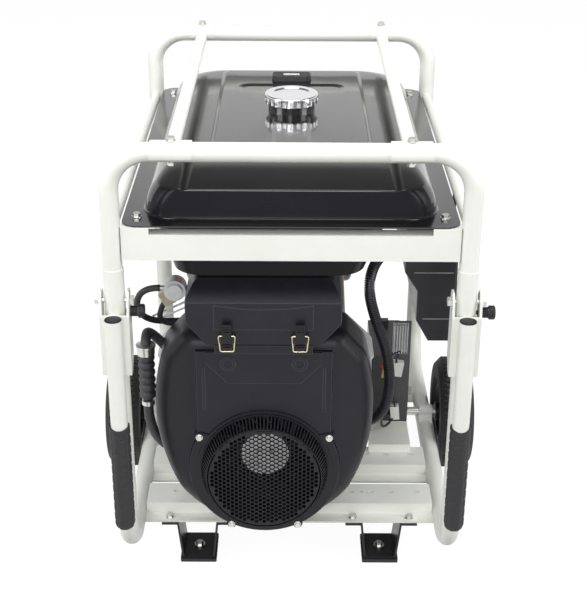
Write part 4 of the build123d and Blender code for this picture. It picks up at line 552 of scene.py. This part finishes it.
# Tank tongue: the round-ended bead that runs from the recess's front towards the filler.
# It is pressed up in the same sheet as the tank's top, and has the same black gloss.
tongue_half, tongue_corner = 0.038, 0.036
tongue_near, tongue_far = press_front + 0.140, press_front + 0.391 + tongue_half
tongue_rings = []
for inset, height in (
    (0, recess_floor - 0.002),
    (0, recess_floor + 0.0002),
    (0.008, panel_head - 0.0006),
    (0.010, panel_head - 0.0003),
):
    half, corner = tongue_half - inset, tongue_corner - inset
    tongue_rings.append((0, tongue_near, tongue_far - inset, half, corner, height))
tongue = ringed("Tank_tongue", tongue_rings)
tongue.data.materials.append(tank_gloss)
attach(tongue, "frame")

# Filler cap and gauge: the cap is a chromed steel pressing with a fluted rim, turned on to the filler's neck.
# The gauge behind it is moulded in black plastic, with a pale lens let into its top.
chrome = finish(
    "Polished_chrome",
    dark=(0.72, 0.72, 0.74), light=(0.86, 0.86, 0.88), patch=12,
    rough=(0.08, 0.16), grain=300, depth=0.00002, metal=1.0,
)
dress(chrome, "fuel_cap")
dress(moulded_black, "fuel_gauge")


def block_mesh(name, size, place, turn=(0, 0, 0), edge=0.001):
    """Closed block with eased edges, turned about its middle by degrees round X, Y and Z."""
    work = bmesh.new()
    bmesh.ops.create_cube(work, size=1)
    bmesh.ops.scale(work, vec=size, verts=work.verts)
    bmesh.ops.bevel(work, geom=list(work.edges), offset=edge, segments=2, profile=0.7, affect="EDGES")
    mesh = bpy.data.meshes.new(name)
    work.to_mesh(mesh)
    work.free()
    turned_to = Matrix.Rotation(radians(turn[2]), 4, "Z") @ Matrix.Rotation(radians(turn[1]), 4, "Y")
    mesh.transform(Matrix.Translation(place) @ turned_to @ Matrix.Rotation(radians(turn[0]), 4, "X"))
    return mesh


def block(name, size, place, turn=(0, 0, 0), edge=0.001):
    """Piece made of one block."""
    piece = bpy.data.objects.new(name, block_mesh(name, size, place, turn, edge))
    bpy.context.collection.objects.link(piece)
    return piece


low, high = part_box("fuel_gauge")
lens_white = finish(
    "Gauge_lens",
    dark=(0.62, 0.62, 0.60), light=(0.72, 0.72, 0.70), patch=30,
    rough=(0.12, 0.2), grain=400, depth=0.00002, coat=0.5,
)
lens_place = ((low.x + high.x) / 2, (low.y + high.y) / 2, high.z - 0.001)
lens = block("Gauge_lens", (0.036, 0.014, 0.0016), lens_place, edge=0.0004)
lens.data.materials.append(lens_white)
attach(lens, "frame")

# Fuel valve: a turned brass body screwed into the tank's sump.
# A lever stamped from brass strip turns on its stem.
brass = finish(
    "Turned_brass",
    dark=(0.5, 0.33, 0.12), light=(0.72, 0.52, 0.22), patch=50,
    rough=(0.25, 0.4), grain=700, depth=0.00005, metal=1.0,
)
dress(brass, "fuel_valve", "fuel_valve_lever")

# Engine and alternator: cast crankcase, finned cylinders, valve covers and alternator housing.
# They are bare aluminium, bolted together round a steel crankshaft, and stand on rubber mounts.
cast_metal = finish(
    "Cast_aluminium",
    dark=(0.34, 0.345, 0.35), light=(0.58, 0.585, 0.59), patch=26,
    rough=(0.35, 0.55), grain=520, depth=0.0005, metal=0.9,
)
dress(cast_metal, "crankcase", "cylinder_left", "cylinder_right", "valve_covers", "carburetor")
dress(cast_metal, "alternator_housing", "alternator_end_cover", "fuel_pump")
dress(bare_steel, "crankshaft")
dress(moulded_rubber, "engine_mounts")

# Muffler and exhaust pipes: rolled and welded steel, flanged to the cylinder heads.
# Heat has browned and dulled them.
hot_steel = finish(
    "Heat_dulled_steel",
    dark=(0.16, 0.13, 0.11), light=(0.36, 0.33, 0.30), patch=12,
    rough=(0.4, 0.65), grain=300, depth=0.0002, metal=0.9,
)
dress(hot_steel, "muffler")

# Fan housing: one deep satin black moulding with a fine spark-eroded texture, bolted over the flywheel fan.
# The filter cover on its roof is the same plastic, and both carry a painted highlight along their edges.
housing_black = finish(
    "Housing_black",
    dark=(0.0065, 0.0065, 0.010), light=(0.011, 0.011, 0.0155), patch=25,
    rough=(0.34, 0.44), grain=1500, depth=0.0001, sheen=0.33, edge_highlight=(0.045, 0.046, 0.06),
)
dress(housing_black, "blower_housing", "air_filter_cover")
dress(moulded_black, "flywheel_fan")

# Fan grille: a cone moulded in black plastic, with a honeycomb face and a slotted band round it.
# Its flange has four ears, which are bolted to the housing.
low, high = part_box("fan_grille")
shaft_low, shaft_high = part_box("crankshaft")
hub = Vector(((shaft_low.x + shaft_high.x) / 2, 0, (shaft_low.z + shaft_high.z) / 2))
face_radius, foot_radius, flange_radius = 0.112, 0.127, 0.133
bolt_circle, bolt_angles = 0.146, (30, 150, 243, 297)
sheet = 0.003
cell, cell_web = 0.009, 0.0017
bar_count, bar_half, bar_depth = 108, 0.0013, 0.003
round_steps = 120


def meshed(name, curve):
    """Mesh of a curve, as Blender works it out."""
    shape = bpy.data.objects.new(name, curve)
    bpy.context.collection.objects.link(shape)
    bpy.context.view_layer.update()
    mesh = bpy.data.meshes.new_from_object(shape.evaluated_get(bpy.context.evaluated_depsgraph_get()))
    bpy.data.objects.remove(shape)
    return mesh


def plate(name, loops, front):
    """Flat holed sheet facing -Y: closed loops of (x, z) about the hub, filled and given thickness."""
    flat = bpy.data.curves.new(name, "CURVE")
    flat.dimensions = "2D"
    flat.fill_mode = "BOTH"
    flat.extrude = sheet / 2
    for loop in loops:
        edge = flat.splines.new("POLY")
        edge.points.add(len(loop) - 1)
        edge.use_cyclic_u = True
        for point, (x, z) in zip(edge.points, loop):
            point.co = (x, z, 0, 1)
    mesh = meshed(name, flat)
    middle = Matrix.Translation((hub.x, front + sheet / 2, hub.z))
    mesh.transform(middle @ Matrix.Rotation(radians(90), 4, "X"))
    return mesh


def ring_loop(radius, count):
    """Points of (x, z) round a circle."""
    return [(radius * cos(2 * pi * n / count), radius * sin(2 * pi * n / count)) for n in range(count)]


def slotted_band(front, back):
    """Cone between the face and the flange: two hoops joined by straight bars, open between them."""
    points, faces = [], []

    def hoop(radius, y, deep, wide):
        start = len(points)
        for n in range(round_steps):
            turn = 2 * pi * n / round_steps
            for r, d in ((radius, 0), (radius, deep), (radius - wide, deep), (radius - wide, 0)):
                points.append((hub.x + r * cos(turn), y + d, hub.z + r * sin(turn)))
        for n in range(round_steps):
            a = start + 4 * n
            b = start + 4 * ((n + 1) % round_steps)
            for k in range(4):
                faces.append((a + k, b + k, b + (k + 1) % 4, a + (k + 1) % 4))

    hoop(face_radius + 0.0005, front, 0.005, 0.004)
    hoop(foot_radius, back - 0.006, 0.006, 0.004)
    for n in range(bar_count):
        turn = 2 * pi * n / bar_count
        out = Vector((cos(turn), 0, sin(turn)))
        side = Vector((-sin(turn), 0, cos(turn))) * bar_half
        start = len(points)
        for r, y in ((face_radius, front + 0.003), (foot_radius - 0.001, back - 0.004)):
            for inner in (0, bar_depth):
                for hand in (-1, 1):
                    points.append(tuple(Vector((hub.x, y, hub.z)) + out * (r - inner) + side * hand))
        for corners in ((0, 1, 5, 4), (2, 6, 7, 3), (0, 4, 6, 2), (1, 3, 7, 5)):
            faces.append(tuple(start + corner for corner in corners))
    mesh = bpy.data.meshes.new("Grille_band")
    mesh.from_pydata(points, [], faces)
    return mesh


def joined(name, meshes):
    """One piece from several meshes."""
    points, faces = [], []
    for mesh in meshes:
        start = len(points)
        points += [tuple(v.co) for v in mesh.vertices]
        faces += [tuple(start + i for i in p.vertices) for p in mesh.polygons]
    whole = bpy.data.meshes.new(name)
    whole.from_pydata(points, [], faces)
    piece = bpy.data.objects.new(name, whole)
    bpy.context.collection.objects.link(piece)
    return piece


honeycomb = [ring_loop(face_radius - 0.001, round_steps)]
cell_corner = (cell - cell_web) / sqrt(3)
row_pitch = cell * sqrt(3) / 2
rows = int((face_radius - 0.006) / row_pitch)
for row in range(-rows, rows + 1):
    for column in range(-rows - 1, rows + 2):
        x = row * row_pitch
        z = (column + 0.5 * (row % 2)) * cell
        if sqrt(x * x + z * z) < face_radius - 0.005 - cell / 2:
            honeycomb.append([(x + a, z + b) for a, b in ring_loop(cell_corner, 6)])
ear_steps, ear_span, ear_reach = 180, 5, 0.009
ears = []
for n in range(ear_steps):
    turn = 360 * n / ear_steps
    radius = flange_radius
    for angle in bolt_angles:
        off = abs((turn - angle + 180) % 360 - 180)
        if off < ear_span:
            radius = max(radius, bolt_circle + ear_reach - 0.0012 * (off / ear_span * 3) ** 2)
    ears.append((radius * cos(radians(turn)), radius * sin(radians(turn))))
face_mesh = plate("Grille_face", honeycomb, low.y)
band_mesh = slotted_band(low.y, high.y)
flange_mesh = plate("Grille_flange", [ears, ring_loop(foot_radius - 0.003, round_steps)], high.y - sheet)
grille = joined("Fan_grille", (face_mesh, band_mesh, flange_mesh))
grille.data.materials.append(moulded_black)
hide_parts("fan_grille")
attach(grille, "frame")

# Air filter: a folded paper element that sits in the housing's roof, under its moulded cover.
# Two draw latches hold the cover down, each a moulded lever with a bail of bent, yellow plated wire.
filter_paper = finish(
    "Filter_paper",
    dark=(0.55, 0.45, 0.28), light=(0.75, 0.66, 0.45), patch=40,
    rough=(0.7, 0.9), grain=900, depth=0.0004,
)
yellow_zinc = finish(
    "Yellow_zinc",
    dark=(0.62, 0.52, 0.30), light=(0.82, 0.74, 0.50), patch=90,
    rough=(0.22, 0.35), grain=900, depth=0.00003, metal=1.0,
)
dress(filter_paper, "air_filter_element")
dress(moulded_black, "latch_lever_left", "latch_lever_right")
dress(yellow_zinc, "latch_bail_left", "latch_bail_right")

# Control box: folded steel sheet in satin black, hung from the tank rail by two straps.
# Its panel carries two sockets under grey spring lids, a breaker and a key switch.
# Two seams cross its front end, and their light grey strips are painted highlights on the folded lips.
lid_grey_and_seam_highlight = finish(
    "Lid_grey_and_seam_highlight",
    dark=(0.14, 0.145, 0.15), light=(0.2, 0.205, 0.21), patch=30,
    rough=(0.4, 0.55), grain=1200, depth=0.0001,
)
# The box's paint has a lighter grey painted highlight along its edges.
box_paint = finish(
    "Box_paint",
    dark=(0.007, 0.007, 0.010), light=(0.012, 0.012, 0.016), patch=14,
    rough=(0.28, 0.4), grain=500, depth=0.0001, sheen=0.4, edge_highlight=(0.06, 0.06, 0.07),
)
dress(box_paint, "control_box", "control_panel")
dress(bare_steel, "key_switch")
dress(moulded_black, "breaker_switch")
dress(lid_grey_and_seam_highlight, "socket_lid_front", "socket_lid_rear")
low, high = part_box("control_box")
seam_end = high.x - 0.004
# Seam strips: light grey blocks that paint the highlight where each folded lip catches the light.
for name, start, height in (("upper", 0.243, 0.635), ("lower", 0.264, 0.534)):
    seam_highlight_size = (seam_end - start, 0.002, 0.0026)
    seam_highlight = block(f"Box_seam_highlight_{name}", seam_highlight_size, ((start + seam_end) / 2, low.y, height), edge=0.0007)
    seam_highlight.data.materials.append(lid_grey_and_seam_highlight)
    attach(seam_highlight, "frame")

# Battery tray: steel sheet folded to a tray with an upright, and fixed to the floor members over the axle.
# The tray is cream like the frame, and above the battery's foot its upright is dark grey.
tray_coat = finish(
    "Tray_coat",
    dark=cream_dark, light=cream_light, patch=9, rough=(0.30, 0.42), grain=420, depth=0.0002, coat=0.15,
)
coats = tray_coat.node_tree
spot = coats.nodes.new("ShaderNodeTexCoord")
spot_height = coats.nodes.new("ShaderNodeSeparateXYZ")
coats.links.new(spot.outputs["Object"], spot_height.inputs["Vector"])
is_upright = coats.nodes.new("ShaderNodeMath")
is_upright.operation = "GREATER_THAN"
is_upright.inputs[1].default_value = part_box("battery")[0].z + 0.001
coats.links.new(spot_height.outputs["Z"], is_upright.inputs[0])
two_coats = coats.nodes.new("ShaderNodeMix")
two_coats.data_type = "RGBA"
two_coats.inputs["B"].default_value = (0.045, 0.045, 0.048, 1)
coats.links.new(is_upright.outputs[0], two_coats.inputs["Factor"])
base = coats.nodes["Principled BSDF"].inputs["Base Color"]
coats.links.new(base.links[0].from_socket, two_coats.inputs["A"])
coats.links.new(two_coats.outputs["Result"], base)
dress(tray_coat, "battery_tray")

# Battery: a sealed block in a moulded black plastic case.
# It stands in its tray, beside the upright.
battery_case = finish(
    "Battery_case",
    dark=(0.014, 0.014, 0.015), light=(0.03, 0.03, 0.032), patch=18,
    rough=(0.25, 0.4), grain=700, depth=0.0001,
)
dress(battery_case, "battery")


# Fuel hose: smooth black rubber hose from the pump round to the carburettor.
# It is pushed on to a spigot at each end and clamped.
def along(points):
    """Points of a smooth line that has these as its control points, read from its spline."""
    line = bpy.data.curves.new("Route", "CURVE")
    line.dimensions = "3D"
    line.resolution_u = 24
    spline = line.splines.new("NURBS")
    spline.points.add(len(points) - 1)
    for point, place in zip(spline.points, points):
        point.co = (*place, 1)
    spline.order_u = 3
    spline.use_endpoint_u = True
    return [v.co.copy() for v in meshed("Route", line).vertices]


def even_stations(radius, count):
    """Stations of a plain tube."""
    return [(n / count, radius) for n in range(count + 1)]


hose_rubber = finish(
    "Hose_rubber",
    dark=(0.014, 0.014, 0.014), light=(0.03, 0.03, 0.03), patch=40,
    rough=(0.45, 0.6), grain=700, depth=0.0001,
)
fuel_route = along(
    [
        (-0.2513, -0.2811, 0.630),
        (-0.2850, -0.2811, 0.630),
        (-0.3030, -0.2731, 0.586),
        (-0.2830, -0.2511, 0.546),
        (-0.2320, -0.2291, 0.532),
        (-0.1620, -0.1911, 0.522),
        (-0.1120, -0.1711, 0.4387),
        (-0.0803, -0.1711, 0.4387),
    ]
)
fuel_hose = tube("Fuel_hose", fuel_route, even_stations(0.0063, 90))
fuel_hose.data.materials.append(hose_rubber)
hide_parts("fuel_hose")
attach(fuel_hose, "frame")

# In-line fuel filter: a pale moulded cup beside the fan housing, under the pump.
# A short rubber hose is pushed on at each end of it and carries it.
filter_beige = finish(
    "Filter_cup",
    dark=(0.42, 0.36, 0.23), light=(0.56, 0.50, 0.35), patch=45,
    rough=(0.3, 0.42), grain=900, depth=0.0002,
)
cup = block("Fuel_filter_cup", (0.026, 0.026, 0.030), (-0.2405, -0.2460, 0.5965), (0, -28, 0), 0.003)
cup.data.materials.append(filter_beige)
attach(cup, "frame")
tail_route = [
    (-0.247, -0.246, 0.584),
    (-0.262, -0.246, 0.556),
    (-0.250, -0.240, 0.532),
    (-0.225, -0.232, 0.530),
]
lead_route = [(-0.233, -0.246, 0.610), (-0.226, -0.250, 0.622), (-0.224, -0.266, 0.628)]
for name, route in (("Fuel_filter_tail", tail_route), ("Fuel_filter_lead", lead_route)):
    pipe = tube(name, along(route), even_stations(0.0055, 24))
    pipe.data.materials.append(hose_rubber)
    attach(pipe, "frame")

# Throttle rods: two thin plated steel rods, bent from wire.
# They cross behind the shoulder of the fan housing on their way to the carburettor.
throttle_route = [(-0.272, -0.2445, 0.552), (-0.240, -0.2440, 0.566), (-0.205, -0.2440, 0.584)]
choke_route = [(-0.268, -0.2430, 0.541), (-0.236, -0.2430, 0.556), (-0.200, -0.2430, 0.574)]
for name, route, radius in (("Throttle_rod", throttle_route, 0.0022), ("Choke_rod", choke_route, 0.0018)):
    rod = tube(name, along(route), even_stations(radius, 16), 12)
    rod.data.materials.append(zinc_plate)
    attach(rod, "frame")

# Breather: one length of black rubber hose beside the fan housing, with a bellows moulded into its middle.
# A plated cuff closes the upper end of the bellows, and a clamp its lower end.
bellows_x, bellows_y = -0.283, -0.2911
bellows_low, bellows_high = 0.392, 0.492
breather_route = along(
    [
        (-0.1515, -0.2161, 0.220),
        (-0.1930, -0.2161, 0.220),
        (-0.2430, -0.2391, 0.242),
        (-0.2690, -0.2761, 0.287),
        (bellows_x, bellows_y, 0.342),
        (bellows_x, bellows_y, bellows_low),
        (bellows_x, bellows_y, bellows_high),
        (bellows_x, bellows_y, 0.524),
        (bellows_x, -0.2445, 0.524),
        (-0.2289, -0.2445, 0.4609),
        (-0.2289, -0.2155, 0.4609),
    ]
)
breather_lengths = distances(breather_route)
first = next(d for d, p in zip(breather_lengths, breather_route) if p.z > bellows_low) / breather_lengths[-1]
last = next(d for d, p in zip(breather_lengths, breather_route) if p.z > bellows_high) / breather_lengths[-1]
hose_radius, root, flank, crest = 0.0098, 0.0125, 0.0152, 0.0166
folds = 6
breather_stations = [(first * n / 40, hose_radius) for n in range(41)]
for fold in range(folds):
    for part, radius in ((0.05, root), (0.2, flank), (0.4, crest), (0.6, crest), (0.8, flank), (0.95, root)):
        breather_stations.append((first + (last - first) * (fold + part) / folds, radius))
breather_stations += [(last + (1 - last) * n / 24, hose_radius) for n in range(25)]
bellows_rubber = finish(
    "Bellows_rubber",
    dark=(0.028, 0.028, 0.031), light=(0.05, 0.05, 0.055), patch=35,
    rough=(0.48, 0.58), grain=700, depth=0.0001,
)
breather = tube("Breather_hose", breather_route, breather_stations, 36)
breather.data.materials.append(bellows_rubber)
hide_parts("breather_hose")
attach(breather, "frame")
cuff_profile = [
    (0.0130, 0.4910),
    (0.0172, 0.4920),
    (0.0178, 0.5070),
    (0.0195, 0.5085),
    (0.0195, 0.5125),
    (0.0125, 0.5140),
]
clamp_profile = [(0.0105, 0.379), (0.0128, 0.3795), (0.0128, 0.3885), (0.0105, 0.389)]
for name, profile in (("Breather_cuff", cuff_profile), ("Breather_clamp", clamp_profile)):
    band = turned(name, profile, (bellows_x, bellows_y))
    sharpen(band, 40)
    band.data.materials.append(zinc_plate)
    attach(band, "frame")

# Wiring conduit: split corrugated tube, blown in black plastic.
# It is slipped over the wiring loom, from the control box down to the crankcase.
conduit_route = along(
    [
        (0.2247, -0.1911, 0.668),
        (0.1870, -0.1911, 0.668),
        (0.1600, -0.2491, 0.668),
        (0.1480, -0.2811, 0.630),
        (0.1660, -0.2811, 0.560),
        (0.1930, -0.2811, 0.490),
        (0.2000, -0.2811, 0.400),
        (0.1820, -0.2611, 0.330),
        (0.1300, -0.2091, 0.282),
        (0.0620, -0.2091, 0.282),
    ]
)
ribs, groove, ridge = 140, 0.0086, 0.0108
conduit_stations = []
for rib in range(ribs):
    for part, radius in ((0.05, groove), (0.4, groove), (0.52, ridge), (0.9, ridge)):
        conduit_stations.append(((rib + part) / ribs, radius))
conduit_black = finish(
    "Conduit_black",
    dark=(0.018, 0.018, 0.023), light=(0.032, 0.032, 0.04), patch=30,
    rough=(0.3, 0.42), grain=900, depth=0.0001,
)
conduit = tube("Wiring_conduit", conduit_route, conduit_stations)
sharpen(conduit, 50)
conduit.data.materials.append(conduit_black)
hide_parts("wiring_conduit")
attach(conduit, "frame")

# Cable tie: a moulded nylon strap drawn tight round the conduit.
# The cut end of its tail stands off to the side.
tie_y, tie_z = -0.2811, 0.490
tie_at = min(
    range(len(conduit_route)),
    key=lambda n: abs(conduit_route[n].z - tie_z) + abs(conduit_route[n].y - tie_y),
)
tie_stations = [(0.3, 0.0094), (0.32, 0.0105), (0.68, 0.0105), (0.7, 0.0094)]
tie = tube("Cable_tie", [conduit_route[tie_at - 1], conduit_route[tie_at + 1]], tie_stations, 28)
tail_place = conduit_route[tie_at] + Vector((0.0175, -0.004, 0.003))
tail = block("Cable_tie_tail", (0.018, 0.003, 0.001), tail_place, (0, -24, 10), 0.0003)
for piece in (tie, tail):
    sharpen(piece, 30)
    piece.data.materials.append(moulded_black)
    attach(piece, "frame")

# Charging regulator: a cast aluminium block with six cooling fins.
# It is screwed to the upright of the battery tray.
regulator_x, regulator_face, regulator_z = 0.246, 0.0329, 0.366
fin_count, fin_pitch = 6, 0.0058
base_place = (regulator_x, regulator_face - 0.003, regulator_z)
regulator_parts = [block_mesh("Regulator_base", (0.034, 0.006, 0.072), base_place)]
for fin in range(fin_count):
    fin_place = (regulator_x - 0.0145 + fin_pitch * fin, regulator_face - 0.0115, regulator_z)
    regulator_parts.append(block_mesh("Regulator_fin", (0.0022, 0.012, 0.070), fin_place, edge=0.0004))
regulator = joined("Regulator", regulator_parts)
regulator.data.materials.append(cast_metal)
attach(regulator, "frame")

# Wiring plugs: two white nylon plug blocks clipped to the upright of the battery tray.
# Two small coloured ones hang beside the conduit.
plug_white = finish(
    "Plug_white",
    dark=(0.66, 0.65, 0.61), light=(0.78, 0.77, 0.73), patch=50, rough=(0.35, 0.5), grain=900, depth=0.0001,
)
plug_red = finish(
    "Plug_red",
    dark=(0.42, 0.015, 0.018), light=(0.55, 0.03, 0.03), patch=50, rough=(0.35, 0.5), grain=900, depth=0.0001,
)
plug_yellow = finish(
    "Plug_yellow",
    dark=(0.45, 0.36, 0.06), light=(0.6, 0.5, 0.12), patch=50, rough=(0.35, 0.5), grain=900, depth=0.0001,
)
for name, size, place, tilt, colour in (
    ("Plug_upper", (0.024, 0.016, 0.036), (0.2420, 0.0250, 0.290), 8, plug_white),
    ("Plug_lower", (0.020, 0.016, 0.034), (0.2400, 0.0250, 0.176), -5, plug_white),
    ("Plug_red", (0.012, 0.012, 0.022), (0.1880, -0.2670, 0.462), 15, plug_red),
    ("Plug_yellow", (0.012, 0.012, 0.018), (0.1890, -0.2670, 0.438), 10, plug_yellow),
):
    plug = block(name, size, place, (0, tilt, 0), 0.0015)
    plug.data.materials.append(colour)
    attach(plug, "frame")

# Wires: stranded copper in black rubber, from the plugs to the regulator, the battery and the loom.
# Each is crimped into its plug and left a little slack.
upper_route = [
    (0.240, 0.020, 0.306),
    (0.236, 0.005, 0.330),
    (0.224, -0.060, 0.372),
    (0.205, -0.200, 0.410),
    (0.203, -0.272, 0.418),
]
lower_route = [(0.240, 0.020, 0.192), (0.236, 0.008, 0.215), (0.230, 0.012, 0.250), (0.238, 0.020, 0.274)]
regulator_route = [(0.246, 0.026, 0.332), (0.240, 0.012, 0.322), (0.236, 0.014, 0.312), (0.238, 0.021, 0.304)]
battery_route = [
    (0.236, 0.020, 0.162),
    (0.222, 0.000, 0.152),
    (0.205, -0.030, 0.170),
    (0.200, -0.120, 0.260),
    (0.192, -0.262, 0.345),
]
for name, route, radius in (
    ("Wire_upper", upper_route, 0.0020),
    ("Wire_lower", lower_route, 0.0024),
    ("Wire_regulator", regulator_route, 0.0018),
    ("Wire_battery", battery_route, 0.0028),
):
    wire = tube(name, along(route), even_stations(radius, 32), 12)
    wire.data.materials.append(hose_rubber)
    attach(wire, "frame")
